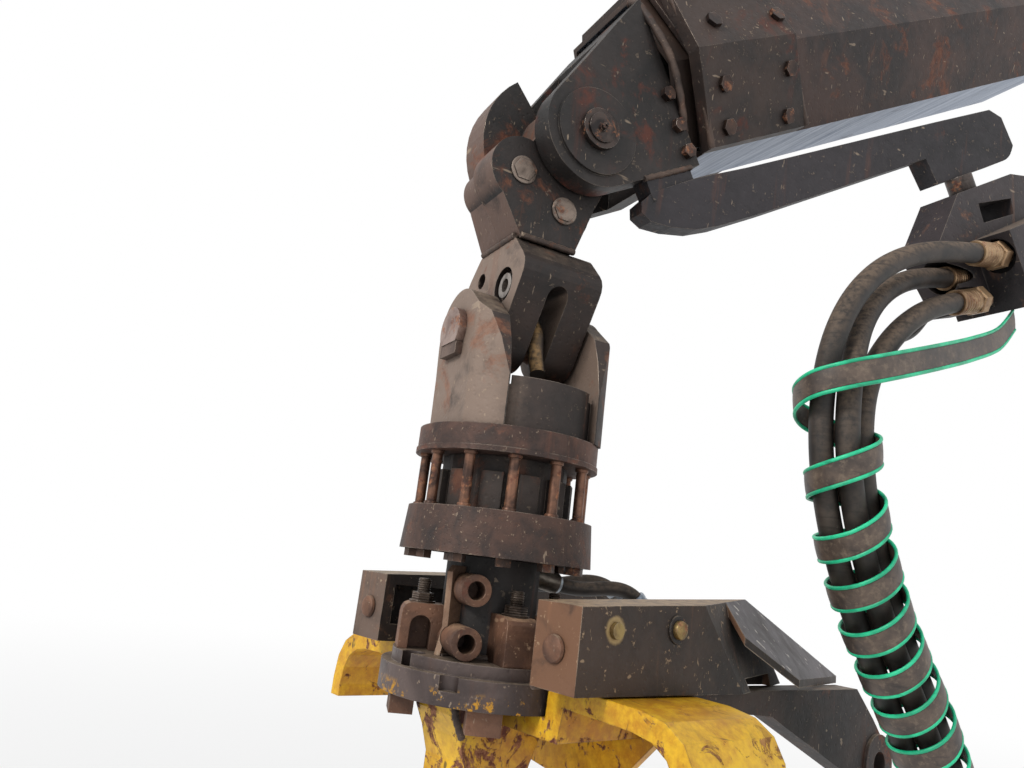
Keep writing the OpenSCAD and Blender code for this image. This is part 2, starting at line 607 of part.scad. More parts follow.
// Middle of the hose bundle inside the spiral guard, from the upper ring's middle
bundle = [[440, -300, 150], [440, -298, 90], [450, -294, 30], [472, -288, -38], [510, -280, -112], [562, -270, -190],
    [626, -261, -268], [692, -253, -346], [746, -247, -424], [792, -242, -500], [834, -238, -574]];
bundle_end = [[872, -235, -650], [906, -232, -724]];
// Place of each big hose in the bundle: [to the right, to the front]
hose_places = [[-33, -6], [0, 18], [33, -6]];
thin_place = [12, -26];
fan = 1.9;
// Big hoses above the bundle, from the ferrule's mouth
hose_tops = [
    [[752, -328, 486], [680, -330, 468], [592, -330, 440], [508, -328, 398], [440, -324, 334], [402, -318, 264], [394, -305, 204]],
    [[764, -262, 458], [690, -270, 438], [606, -280, 404], [532, -290, 352], [474, -300, 284], [446, -312, 214]],
    [[730, -302, 388], [664, -304, 364], [600, -306, 324], [546, -304, 272], [508, -298, 214]]];
function hose_place(i, k, f) = let (t = along_line(bundle, i), u = side_of(t), w = cross(t, u)) f * hose_places[k][0] * u + f * hose_places[k][1] * w;
hose_routes = [for (k = [0:2]) concat(hose_tops[k], [for (i = [0:len(bundle) - 1]) bundle[i] + hose_place(i, k, 1)],
    [bundle_end[0] + hose_place(len(bundle) - 1, k, (1 + fan) / 2), bundle_end[1] + hose_place(len(bundle) - 1, k, fan)])];
thin_route = concat([[787, -228, 413.9], [758, -229, 385.2], [722, -236, 352], [678, -249, 322], [624, -260, 298], [574, -264, 262], [532, -261, 212]],
    [for (i = [0:len(bundle) - 2]) let (t = along_line(bundle, i), u = side_of(t), w = cross(t, u)) bundle[i] + thin_place[0] * u + thin_place[1] * w]);

// A smooth curve through the points of l, n steps between two of them.
function at(l, i) = l[max(0, min(len(l) - 1, i))];
function bend(a, b, c, d, t) = 0.5 * (2 * b + (c - a) * t + (2 * a - 5 * b + 4 * c - d) * t * t + (3 * b - a - 3 * c + d) * t * t * t);
function smooth_line(l, n) = concat([for (i = [0:len(l) - 2], k = [0:n - 1]) bend(at(l, i - 1), l[i], l[i + 1], at(l, i + 2), k / n)], [l[len(l) - 1]]);
function along_line(c, i) = unit(at(c, i + 1) - at(c, i - 1));
function side_of(t) = unit(cross(t, [0.44, 0.87, 0]));
hose_sides = 12;
// Sweeps a circle of diameter d along the points c.
module swept(c, d) {
    n = len(c);
    m = hose_sides;
    pts = [for (i = [0:n - 1]) let (t = along_line(c, i), u = side_of(t), w = cross(t, u))
        for (k = [0:m - 1]) c[i] + d / 2 * (cos(360 * k / m) * u + sin(360 * k / m) * w)];
    polyhedron(points = pts, faces = concat([[for (k = [0:m - 1]) m - 1 - k]], [[for (k = [0:m - 1]) (n - 1) * m + k]],
        [for (i = [0:n - 2], k = [0:m - 1]) [i * m + k, i * m + (k + 1) % m, (i + 1) * m + (k + 1) % m, (i + 1) * m + k]]), convexity = 8);
}
hose_curves = [for (r = hose_routes) smooth_line(r, 4)];
module hose_a() color(C_HOSE) at_rotor() swept(hose_curves[0], hose_d);
module hose_b() color(C_HOSE) at_rotor() swept(hose_curves[1], hose_d);
module hose_c() color(C_HOSE) at_rotor() swept(hose_curves[2], hose_d);
module thin_hose() color(C_HOSE) at_rotor() swept(smooth_line(thin_route, 4), thin_d);

// Ferrules and hexagons where the hoses enter the bracket, and fittings at their far ends.
ferrule_l = 62;
fitting_l = ferrule_l + 24 + 20;
module on_end(p, q) { v = p - q; translate(p) rotate([0, acos(v[2] / norm(v)), atan2(v[1], v[0])]) children(); }
module fitting(d) {
    cylinder(d = d + 10, h = ferrule_l);
    translate([0, 0, ferrule_l]) cylinder(d = d + 20, h = 24, $fn = 6);
    translate([0, 0, ferrule_l + 24]) cylinder(d = d - 4, h = 20);
}
module ferrules() color(C_PIN) at_rotor() for (c = hose_curves) on_end(c[0], c[1]) fitting(hose_d);
module hose_ends() color(C_PIN) at_rotor() for (c = hose_curves) on_end(c[len(c) - 1], c[len(c) - 2]) fitting(hose_d);

// Spiral guard: a flat strip wound down the bundle. Its first turn is loose and runs up to the bracket.
strip_t = 4;
loose = [[925, -300, 406], [834, -322, 340], [718, -342, 288], [604, -360, 244], [512, -370, 210], [440, -370, 184], [390, -346, 166],
    [366, -300, 152], [384, -250, 138], [432, -224, 124], [482, -240, 108]];
spiral_step = 24;
spiral_from = -62;
bundle_line = smooth_line(bundle, 8);
function lengths(c, i = 0, sum = 0) = i >= len(c) ? [] : concat([sum], lengths(c, i + 1, sum + (i + 1 < len(c) ? norm(c[i + 1] - c[i]) : 0)));
bundle_len = lengths(bundle_line);
function place_at(s) = lookup(s, [for (i = [0:len(bundle_len) - 1]) [bundle_len[i], i]]);
function mix(l, f) = let (i = floor(f)) at(l, i) + (f - i) * (at(l, i + 1) - at(l, i));
strip_from = 66;
strip_run = bundle_len[len(bundle_len) - 1] - strip_from;
// the first turn and a half is drawn out by half a pitch
first_turns = 1.5;
drawn_out = strip_pitch / 2;
strip_n = floor((strip_run - drawn_out) / strip_pitch * 360 / spiral_step);
function turns(i) = i * spiral_step / 360;
function strip_s(i) = strip_from + turns(i) * strip_pitch + drawn_out * min(1, turns(i) / first_turns);
function strip_ring(i) = let (s = strip_s(i), f = place_at(s), c = mix(bundle_line, f),
    t = unit(mix(bundle_line, f + 1) - mix(bundle_line, f - 1)), u = side_of(t), w = cross(t, u), a = spiral_from + i * spiral_step,
    n = cos(a) * u + sin(a) * w, r = spiral_d / 2)
    [c + r * n - strip_w / 2 * t, c + r * n + strip_w / 2 * t, c + (r - strip_t) * n + strip_w / 2 * t, c + (r - strip_t) * n - strip_w / 2 * t];
loose_line = smooth_line(loose, 2);
function loose_ring(i) = let (c = loose_line[i], t = along_line(loose_line, i), n = unit(cross(t, [0, 0, 1])), w = [0.1, 0, -1])
    [c - strip_t / 2 * n - strip_w / 2 * w, c - strip_t / 2 * n + strip_w / 2 * w, c + strip_t / 2 * n + strip_w / 2 * w, c + strip_t / 2 * n - strip_w / 2 * w];
module band(rings) {
    n = len(rings);
    polyhedron(points = [for (r = rings) for (p = r) p], faces = concat([[3, 2, 1, 0]], [[4 * n - 4, 4 * n - 3, 4 * n - 2, 4 * n - 1]],
        [for (i = [0:n - 2], k = [0:3]) [4 * i + k, 4 * i + (k + 1) % 4, 4 * i + 4 + (k + 1) % 4, 4 * i + 4 + k]]), convexity = 12);
}
guard_rings = concat([for (i = [0:len(loose_line) - 2]) loose_ring(i)], [for (i = [0:strip_n - 1]) strip_ring(i)]);
module spiral_guard() color(C_HOSE) at_rotor() band(guard_rings);
// Green cords moulded along the strip's outer edges: each lies on the edge of every ring.
bead = 6;
bead_gap = 0.6;
function bead_ring(r, k) = let (o = k == 0 ? r[0] : r[1], i = k == 0 ? r[3] : r[2], e = k == 0 ? unit(r[0] - r[1]) : unit(r[1] - r[0]), n = unit(o - i))
    [o + bead_gap * e - 0.5 * n, o + (bead + bead_gap) * e - 0.5 * n, i + (bead + bead_gap) * e, i + bead_gap * e];
module strip_edges() color(C_GREEN) at_rotor() for (k = [0, 1]) band([for (r = guard_rings) let (b = bead_ring(r, k)) k == 0 ? [b[1], b[0], b[3], b[2]] : b]);

// Hose in the link's slot, and two small hoses from the neck to the arch.
link_route = [for (p = [[76, 214], [44, 223], [6.9, 220.8], [-19.7, 216.15], [-35.75, 198.7], [-39.2, 175.2], [-45, 152], [-55, 128]])
    [link_off, p[0], p[1]]];
link_hose_d = 26;
module link_hose() color(C_HOSE) at_rotor() swept(smooth_line(link_route, 4), link_hose_d);
neck_routes = [
    [[92, -34, -198], [130, -44, -206], [172, -60, -204], [210, -78, -194], [244, -98, -206], [262, -110, -240], [266, -114, -280], [266, -114, -316]],
    [[88, 20, -206], [130, 20, -208], [176, 10, -200], [220, -6, -188], [262, -24, -196], [288, -36, -230], [294, -40, -280], [294, -40, -316]]];
neck_hose_d = 24;
module neck_hoses() color(C_HOSE) at_hanger() for (r = neck_routes) swept(smooth_line(r, 4), neck_hose_d);
module neck_fittings() color(C_PIN) at_hanger() difference() {
    for (r = neck_routes) on_end(r[0], r[1]) translate([0, 0, -14]) cylinder(d = neck_hose_d + 10, h = 46);
    for (r = neck_routes) on_end(r[0], r[1]) translate([0, 0, -20]) cylinder(d = neck_hose_d + 1, h = 20.5);
    translate([0, 0, -disc_drop]) cylinder(d = neck_d, h = 300);
}

stick_tube();
stick_collar();
pad_screws();
wear_pads();
ext_tube();
tip_fork();
tip_bolts();
pin_a();
hose_arm();
link_head();
link_bolts();
middle_link();
recess_ring();
clevis();
pin_d();
pin_stops();
upper_ring();
tie_bolts();
stator();
lower_ring();
ring_bolts();
neck();
port_tubes();
lugs();
lug_studs();
rib();
disc();
arch();
stem();
under_lugs();
guard_near();
guard_far();
guard_bolts();
arm_near();
arm_far();
swivel_pin();
hose_bracket();
ferrules();
hose_a();
hose_b();
hose_c();
thin_hose();
spiral_guard();
strip_edges();
hose_ends();
link_hose();
neck_hoses();
neck_fittings();
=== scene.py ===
"""Front end of a harvester crane: materials, hoses with their spiral guard, details, floor and light."""
import math

import bmesh
import bpy
from mathutils import Matrix, Vector


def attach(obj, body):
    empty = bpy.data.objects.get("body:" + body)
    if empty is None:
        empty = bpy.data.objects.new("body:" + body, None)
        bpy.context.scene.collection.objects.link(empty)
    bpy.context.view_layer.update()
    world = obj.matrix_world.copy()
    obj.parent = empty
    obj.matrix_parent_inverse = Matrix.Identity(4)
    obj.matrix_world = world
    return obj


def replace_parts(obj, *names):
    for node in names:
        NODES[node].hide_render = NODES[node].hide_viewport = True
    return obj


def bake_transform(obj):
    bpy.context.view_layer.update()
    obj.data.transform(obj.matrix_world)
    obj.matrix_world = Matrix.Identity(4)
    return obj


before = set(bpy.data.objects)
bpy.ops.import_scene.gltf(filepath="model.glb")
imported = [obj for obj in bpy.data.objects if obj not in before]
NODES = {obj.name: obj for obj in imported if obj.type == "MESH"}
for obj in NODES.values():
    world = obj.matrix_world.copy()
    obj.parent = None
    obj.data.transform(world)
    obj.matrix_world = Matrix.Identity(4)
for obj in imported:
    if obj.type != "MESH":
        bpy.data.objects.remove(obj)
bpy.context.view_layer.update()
scene = bpy.context.scene
scene.view_settings.view_transform = "Standard"

# Places of the part in metres: the tip pin and the middle of the rotator's upper ring.
# RISE is the slope of the stick, YAW the hanger's turn about the rotator's axis.
TIP = Vector((-1.409801, 0.0, -0.954424))
ROTOR = Vector((-1.443801, 0.0, -1.507424))
RISE = math.radians(31)
YAW = math.radians(13)


def from_rotor(x, y, z):
    """World point of one in millimetres from the upper ring's middle."""
    return ROTOR + Vector((x, y, z)) / 1000


def hanger_way(x, y, z):
    """World direction of one in the hanger's own axes."""
    return Matrix.Rotation(YAW, 3, "Z") @ Vector((x, y, z))


def from_hanger(x, y, z):
    """World point of one in millimetres from the upper ring's middle, turned with the hanger."""
    return ROTOR + hanger_way(x, y, z) / 1000


def from_tip(x, y, z):
    """World point of one in millimetres from the tip pin, x along the stick."""
    return TIP + Matrix.Rotation(-RISE, 3, "Y") @ Vector((x, y, z)) / 1000


# Camera of the photograph
camera_data = bpy.data.cameras.new("photo_camera")
camera_data.lens = 27.04
camera_data.sensor_width = 36.0
camera = bpy.data.objects.new("photo_camera", camera_data)
scene.collection.objects.link(camera)
right, up, back = (0.872, -0.4747, 0.1195), (-0.2121, -0.1464, 0.9662), (-0.4412, -0.8679, -0.2284)
eye = (-2.0254, -1.1288, -1.68822)
camera.matrix_world = Matrix([*zip(right, up, back, eye), (0, 0, 0, 1)])
scene.camera = camera


# Materials
def tint(r, g, b):
    """Linear colour of an 8-bit one."""
    return tuple(((v / 255 + 0.055) / 1.055) ** 2.4 if v > 10 else v / 255 / 12.92
                 for v in (r, g, b)) + (1.0,)


class Wire:
    """A value that varies over a surface. Arithmetic on it adds Math nodes."""

    def __init__(self, finish, socket):
        self.finish, self.socket = finish, socket

    def math(self, operation, *values):
        return self.finish.part("ShaderNodeMath", {"operation": operation}, dict(enumerate(values)))

    def __add__(self, other): return self.math("ADD", self, other)
    def __radd__(self, other): return self.math("ADD", other, self)
    def __sub__(self, other): return self.math("SUBTRACT", self, other)
    def __rsub__(self, other): return self.math("SUBTRACT", other, self)
    def __mul__(self, other): return self.math("MULTIPLY", self, other)
    def __rmul__(self, other): return self.math("MULTIPLY", other, self)
    def __abs__(self): return self.math("ABSOLUTE", self)
    def most(self, other): return self.math("MAXIMUM", self, other)
    def sine(self): return self.math("SINE", self)


class Finish:
    """A material in the making: part() adds one node, its settings first, then its inputs."""

    def __init__(self, name, shift=0.0):
        self.material = bpy.data.materials.new(name)
        self.material.use_nodes = True
        self.tree = self.material.node_tree
        self.tree.nodes.clear()
        self.point = self.part("ShaderNodeTexCoord", {}, {}, "Object")
        self.facing = Wire(self, self.point.socket.node.outputs["Normal"])
        move = (shift, shift * 0.37, shift * 0.71)
        self.place = self.part("ShaderNodeMapping", {}, {"Vector": self.point, "Location": move})

    def part(self, kind, settings, inputs, out=0):
        node = self.tree.nodes.new(kind)
        for key, value in settings.items():
            setattr(node, key, value)
        for key, value in inputs.items():
            if isinstance(value, Wire):
                self.tree.links.new(value.socket, node.inputs[key])
            else:
                node.inputs[key].default_value = value
        return Wire(self, node.outputs[out]) if len(node.outputs) else None

    def vector(self, operation, first, *second, out=0):
        return self.part("ShaderNodeVectorMath", {"operation": operation}, dict(enumerate((first, *second))),
                         out)

    def noise(self, scale, detail=3.0, rough=0.55, stretch=None, warp=0.0):
        """Noise over the surface. stretch is [scale along each axis, turn]."""
        at = self.place
        if stretch:
            at = self.part("ShaderNodeMapping", {},
                           {"Vector": self.place, "Scale": stretch[0], "Rotation": stretch[1]})
        inputs = {"Vector": at, "Scale": scale, "Detail": detail, "Roughness": rough, "Distortion": warp}
        return self.part("ShaderNodeTexNoise", {}, inputs)

    def scratches(self, detail, rough, one_way, other_way):
        """The stronger of two stretched noises, for thin marks in two directions."""
        return self.noise(1.0, detail, rough, one_way).most(self.noise(1.0, detail, rough, other_way))

    def cells(self, scale):
        return self.part("ShaderNodeTexVoronoi", {"feature": "F1"}, {"Vector": self.place, "Scale": scale})

    def rise(self, value, low, high):
        """0 below low, 1 above high, eased between them."""
        inputs = {0: value, 1: low, 2: high, 3: 0.0, 4: 1.0}
        return self.part("ShaderNodeMapRange", {"interpolation_type": "SMOOTHSTEP"}, inputs)

    def over(self, colour, top, mask):
        """Lays a colour over another where the mask is high."""
        return self.part("ShaderNodeMix", {"data_type": "RGBA"}, {0: mask, 6: colour, 7: top}, 2)

    def shade(self, colour, value):
        """Multiplies a colour by a value."""
        grey = self.part("ShaderNodeCombineColor", {}, {0: value, 1: value, 2: value})
        settings = {"data_type": "RGBA", "blend_type": "MULTIPLY"}
        return self.part("ShaderNodeMix", settings, {0: 1.0, 6: colour, 7: grey}, 2)

    def toward(self, x, y, z):
        """How far the surface faces a direction, in the piece's own axes."""
        way = Vector((x, y, z)).normalized()
        return self.vector("DOT_PRODUCT", self.facing, tuple(way), out="Value")

    def height(self):
        return self.part("ShaderNodeSeparateXYZ", {}, {0: self.point}, 2)

    def rounded(self, radius):
        """The normal with its edges rounded off."""
        return self.part("ShaderNodeBevel", {"samples": 4}, {"Radius": radius})

    def edges(self, soft):
        """Where the rounded normal leaves the true one: the edges, which rub bare."""
        true = self.part("ShaderNodeNewGeometry", {}, {}, "Normal")
        return self.rise(1.0 - self.vector("DOT_PRODUCT", soft, true, out="Value"), 0.015, 0.16)

    def shade_in_hollows(self, reach):
        """Corners and gaps, which the finishes darken as painted shade."""
        return 1.0 - self.part("ShaderNodeAmbientOcclusion", {"samples": 4}, {"Distance": reach}, "AO")

    def done(self, colour, rough, metal, height, depth, strength, soft=None):
        """The finished material. height is a bump, depth metres deep, laid on the soft normal."""
        bump = {"Strength": strength, "Distance": depth, "Height": height}
        if soft is not None:
            bump["Normal"] = soft
        inputs = {"Base Color": colour, "Roughness": rough, "Metallic": metal,
                  "Normal": self.part("ShaderNodeBump", {}, bump)}
        shader = self.part("ShaderNodeBsdfPrincipled", {}, inputs)
        self.part("ShaderNodeOutputMaterial", {}, {"Surface": shader})
        return self.material


RUST = tint(126, 74, 46)
RED_RUST = tint(92, 42, 26)
TAN_RUST = tint(164, 112, 78)
PALE_DUST = tint(176, 156, 134)
SOOT = tint(28, 23, 21)
BARE = tint(150, 148, 146)


def weathered(name, base, deep, rust=RUST, pale=PALE_DUST, rusting=0.5, dust=0.3, hollow_shade=0.6, grain=1.0,
              metal=0.15, rough=0.62, shift=0.0, painted_lit_side=None, bare_edge=0.55, streaks=0.3, extra=None):
    """Old steel that has lost its paint: blotches, rust, flecks, runs, dust on top and rubbed edges, with
    painted shade darkening its hollows and, where a lit side is given, that side painted lighter as painted
    light.
    """
    f = Finish(name, shift)
    broad, blotch = f.noise(3.2 * grain, 3), f.noise(13 * grain, 6, 0.62, warp=0.5)
    fine, speck = f.noise(62 * grain, 5, 0.68), f.noise(230 * grain, 2)
    colour = f.over(deep, base, f.rise(0.45 * broad + 0.55 * blotch, 0.36, 0.62))
    # Painted light: the side facing the light is painted lighter, a painted lit side.
    if painted_lit_side:
        way, lit = painted_lit_side
        side = f.rise(f.toward(*way) + 0.25 * (fine - 0.5), 0.45, 0.8)
        colour = f.over(colour, lit, side * f.rise(blotch, 0.2, 0.5) * 0.9)
    runs = f.noise(1.0, 5, 0.6, ((26, 26, 1.7), (0, 0, 0)))
    colour = f.over(colour, rust, f.rise(runs, 0.58, 0.74) * streaks)
    spread = f.noise(8.5 * grain, 8, 0.7, warp=0.4)
    spots = f.rise(spread, 0.66 - 0.2 * rusting, 0.76 - 0.18 * rusting)
    old = f.over(rust, RED_RUST, f.rise(fine, 0.4, 0.7))
    colour = f.over(colour, old, spots * (0.35 + 0.6 * rusting))
    flecks = f.rise(fine + 0.35 * (speck - 0.5), 0.62, 0.72)
    colour = f.over(colour, pale, flecks * (0.2 + dust))
    scores = f.scratches(2, 0.5, ((150, 9, 40), (0.4, 0.9, 0.3)), ((12, 170, 60), (0.2, 0.1, 0.8)))
    colour = f.over(colour, pale, f.rise(scores, 0.71, 0.76) * 0.5)
    settled = f.rise(f.toward(0, 0, 1) + 0.4 * (blotch - 0.5), 0.55, 0.95)
    colour = f.over(colour, pale, settled * (0.25 + dust) * f.rise(fine, 0.25, 0.6))
    soft = f.rounded(0.0022)
    rubbed = f.edges(soft) * f.rise(blotch + 0.3 * (fine - 0.5), 0.4, 0.6)
    colour = f.over(colour, f.over(pale, BARE, 0.4), rubbed * bare_edge)
    if extra:
        colour = extra(f, colour, fine, blotch)
    # Painted shade: the colour darkened in corners and gaps.
    colour = f.shade(colour, 1.0 - hollow_shade * f.rise(f.shade_in_hollows(0.05), 0.1, 0.85))
    worn = rough + 0.35 * (fine - 0.5) + 0.12 * spots - 0.15 * rubbed
    height = (0.5 * fine + 0.35 * blotch + 0.25 * speck + 0.5 * f.rise(f.cells(90 * grain), 0.0, 0.35)
              - 0.25 * spots)
    return f.done(colour, worn, f.rise(rubbed, 0.3, 0.9) * 0.5 + metal * (1.0 - spots), height, 0.0016, 0.55,
                  soft)


def bare_slide(name):
    """The extension: dark flanks, darkened by grease and by painted shade, with wiped steel above and below,
    where it slides on the pads.
    """
    f = Finish(name)
    fine, broad = f.noise(60, 5, 0.65), f.noise(4, 4)
    wipes = f.noise(1.0, 4, 0.6, ((2.0, 46, 2.0), (0, -RISE, 0)))
    # The flanks' darkness is painted shade as well as grease.
    dark = f.over(tint(38, 30, 27), tint(66, 50, 42), f.rise(broad, 0.35, 0.65))
    bright = f.over(tint(116, 124, 138), tint(158, 164, 174), f.rise(wipes, 0.35, 0.65))
    bright = f.over(bright, tint(112, 84, 62), f.rise(f.noise(9, 6, 0.7), 0.6, 0.72) * 0.6)
    slid = f.rise(abs(f.toward(-math.sin(RISE), 0, math.cos(RISE))), 0.75, 0.9)
    colour = f.over(dark, bright, slid)
    colour = f.over(colour, PALE_DUST, f.rise(fine, 0.64, 0.74) * 0.25)
    height = 0.6 * wipes + 0.3 * fine
    return f.done(colour, 0.55 - 0.2 * slid + 0.2 * (fine - 0.5), slid * 0.55, height, 0.0006, 0.5,
                  f.rounded(0.003))


def yellow_coat(name, shift, wear):
    """Yellow paint with chips down to rust and scratches, darkened in the corners as painted shade."""
    f = Finish(name, shift)
    fine, blotch, broad = f.noise(70, 6, 0.7), f.noise(15, 7, 0.66, warp=0.6), f.noise(4, 3)
    colour = f.over(tint(196, 132, 16), tint(238, 190, 34), f.rise(0.5 * broad + 0.5 * fine, 0.35, 0.62))
    colour = f.over(colour, tint(150, 92, 20), f.rise(blotch, 0.5 - 0.1 * wear, 0.72) * 0.55)
    up = f.rise(f.toward(0, 0, 1), 0.3, 0.9)
    chips = f.rise(f.noise(21, 9, 0.74, warp=0.8), 0.62 - 0.14 * wear, 0.66 - 0.13 * wear)
    chips = chips * (1.0 - 0.55 * up)
    colour = f.over(colour, f.over(RED_RUST, TAN_RUST, f.rise(fine, 0.4, 0.65)), chips)
    marks = f.scratches(3, 0.6, ((120, 10, 14), (0.1, 0.2, 0.9)), ((9, 140, 20), (0.3, 0.1, 0.2)))
    colour = f.over(colour, SOOT, f.rise(marks, 0.68, 0.73) * 0.75)
    soft = f.rounded(0.003)
    rubbed = f.edges(soft) * f.rise(blotch, 0.42, 0.6)
    colour = f.over(colour, tint(66, 44, 30), rubbed * 0.8)
    # Painted shade: the colour darkened in corners and gaps.
    colour = f.shade(colour, 1.0 - 0.65 * f.rise(f.shade_in_hollows(0.09), 0.1, 0.9))
    dull, height = 0.42 + 0.35 * chips + 0.2 * (fine - 0.5), 0.6 * (1.0 - chips) + 0.2 * fine
    return f.done(colour, dull, 0.0, height, 0.0012, 0.6, soft)


def rubber_skin(name, shift, dusty=0.5, dust_tint=tint(136, 116, 98)):
    """Dusty hose cover: dull black under tan dust, the dust laid more on the side toward the key light as a
    painted lit side, with scuffs and a faint wrap pattern.
    """
    f = Finish(name, shift)
    fine, blotch = f.noise(110, 4, 0.6), f.noise(17, 5, 0.6)
    rings = f.noise(1.0, 3, 0.5, ((7, 7, 120), (0.15, 0.2, 0)))
    colour = f.over(tint(34, 31, 30), tint(62, 54, 49), f.rise(blotch, 0.35, 0.65))
    # Dust on the upper side, tilted toward the key light: partly real dust, partly a painted lit side.
    dust = f.rise(f.toward(-0.45, -0.35, 0.8) + 0.5 * (blotch - 0.5), 0.1, 0.95)
    colour = f.over(colour, dust_tint, dust * dusty * f.rise(fine, 0.25, 0.65))
    colour = f.over(colour, tint(24, 22, 22), f.rise(rings, 0.56, 0.66) * 0.4)
    colour = f.over(colour, tint(120, 112, 104), f.rise(f.noise(44, 7, 0.75), 0.66, 0.7) * 0.5)
    # Painted shade: the colour darkened in corners and gaps.
    colour = f.shade(colour, 1.0 - 0.5 * f.rise(f.shade_in_hollows(0.03), 0.15, 0.9))
    return f.done(colour, 0.55 + 0.25 * dust + 0.15 * (fine - 0.5), 0.0, 0.5 * fine + 0.5 * rings, 0.0007,
                  0.5)


def strip_plastic(name, colours, shift, dusty, gloss=0.42):
    """Moulded plastic, scuffed and dusty. The colours are its dark, its light and its marks."""
    f = Finish(name, shift)
    fine, blotch = f.noise(95, 5, 0.65), f.noise(20, 6, 0.65)
    colour = f.over(colours[0], colours[1], f.rise(blotch, 0.35, 0.65))
    marks = f.noise(1.0, 3, 0.6, ((20, 20, 150), (0.3, 0.2, 0)))
    colour = f.over(colour, colours[2], f.rise(marks, 0.6, 0.7) * 0.5)
    colour = f.over(colour, tint(140, 124, 106), f.rise(fine + 0.4 * (blotch - 0.5), 0.5, 0.75) * dusty)
    dull, height = gloss + 0.3 * (fine - 0.5) + 0.1 * blotch, 0.5 * fine + 0.4 * marks
    return f.done(colour, dull, 0.0, height, 0.0006, 0.5, f.rounded(0.001))


def cut_metal(name, tone, dark, shift, rusting, gloss=0.42, thread=0.0):
    """Dull machined steel of pins, studs and bolts, with rust in its grain. thread is its pitch in metres."""
    f = Finish(name, shift)
    fine, blotch = f.noise(120, 5, 0.65), f.noise(26, 6, 0.65, warp=0.5)
    colour = f.over(dark, tone, f.rise(blotch, 0.34, 0.62))
    rust = f.rise(f.noise(34, 8, 0.72), 0.64 - 0.2 * rusting, 0.72 - 0.18 * rusting)
    colour = f.over(colour, f.over(RED_RUST, TAN_RUST, f.rise(fine, 0.4, 0.6)), rust * 0.8)
    soft = f.rounded(0.0012)
    colour = f.over(colour, tint(186, 180, 172), f.edges(soft) * f.rise(blotch, 0.42, 0.58) * 0.6)
    # Painted shade: the colour darkened in corners and gaps.
    colour = f.shade(colour, 1.0 - 0.6 * f.rise(f.shade_in_hollows(0.02), 0.15, 0.9))
    height = 0.6 * fine + 0.4 * blotch
    if thread:
        turns = (f.height() * (2 * math.pi / thread)).sine()
        height = height * 0.3 + turns
        # Painted shade: the colour is darker in the thread's grooves, where the turns sink.
        colour = f.shade(colour, 0.75 + 0.25 * turns)
    dull, depth = gloss + 0.35 * rust + 0.2 * (fine - 0.5), 0.0012 if thread else 0.0007
    return f.done(colour, dull, 0.65 * (1.0 - rust), height, depth, 0.7, soft)


# Extras for weathered(): each takes its finish, the colour so far and two noises, and gives the new colour
def painted_underside_reflection(f, colour, fine, blotch):
    """Painted reflection of the sky: a bright bluish steel colour painted under the stick, streaked from side
    to side.
    """
    under = f.rise(f.toward(math.sin(RISE), 0, -math.cos(RISE)), 0.8, 0.92)
    wipes = f.noise(1.0, 4, 0.6, ((60, 3.0, 60), (0, 0, 0)))
    steel = f.over(tint(128, 138, 156), tint(172, 180, 194), f.rise(wipes, 0.35, 0.65))
    return f.over(colour, steel, under * f.rise(blotch, 0.15, 0.42))


def disc_face(f, colour, fine, blotch):
    """Chipped yellow paint left on the lower rim of the disc."""
    low = f.rise(f.height() + 0.012 * (blotch - 0.5), ROTOR.z - 0.352, ROTOR.z - 0.366)
    left = f.rise(f.noise(34, 8, 0.75), 0.56, 0.61)
    from_axis = f.vector("MULTIPLY", f.vector("SUBTRACT", f.point, tuple(ROTOR)), (1, 1, 0))
    rim = f.rise(f.vector("LENGTH", from_axis, out="Value"), 0.150, 0.154)
    return f.over(colour, tint(188, 136, 36), low * left * rim)


# The way the near box's sloping face looks: a painted reflection goes on faces turned this way.
SLOPE_TURN, SLOPE_RISE = math.radians(-73.5), math.radians(37.2)
SLOPE_WAY = hanger_way(math.cos(SLOPE_TURN) * math.cos(SLOPE_RISE),
                       math.sin(SLOPE_TURN) * math.cos(SLOPE_RISE), math.sin(SLOPE_RISE))
BARE_SPOT, BARE_SPOT_R = from_hanger(-9, -272, -247), 0.021


def near_box_sheen_and_marks(f, colour, fine, blotch):
    """Painted reflection: a lighter grey sheen painted on the near box's sloping face, scratches on that
    face, and the pale patch on its side.
    """
    slope = f.rise(f.toward(*SLOPE_WAY), 0.95, 0.985)
    painted_sheen = f.over(tint(74, 68, 68), tint(112, 108, 112), f.rise(blotch, 0.35, 0.65))
    colour = f.over(colour, painted_sheen, slope * 0.85)
    cuts = f.noise(1.0, 2, 0.5, ((16, 130, 60), (0.5, 0.2, 0.9)))
    colour = f.over(colour, tint(206, 198, 188), slope * f.rise(cuts, 0.64, 0.7) * 0.8)
    away = (f.vector("DISTANCE", f.point, tuple(BARE_SPOT), out="Value") + 0.016 * (blotch - 0.5)
            + 0.006 * (fine - 0.5))
    return f.over(colour, tint(176, 150, 104), 0.9 * f.rise(away, BARE_SPOT_R, BARE_SPOT_R * 0.72))


# Colours that several nodes share: [light, dark], and the side that faces the light in the photograph
DARK = (tint(58, 44, 38), tint(30, 25, 24))
OILY = (tint(44, 37, 35), tint(22, 20, 20))
CAST = (tint(120, 100, 90), tint(76, 60, 52))
# The next colour is painted on the lit side of cast parts, as painted light.
LIT_SIDE_CAST = tint(136, 117, 104)
RUSTY = (tint(128, 90, 68), tint(78, 54, 42))
LEFT = (-1.0, -0.15, 0.1)
HANGER_LEFT = tuple(hanger_way(-1.0, 0.0, 0.0))
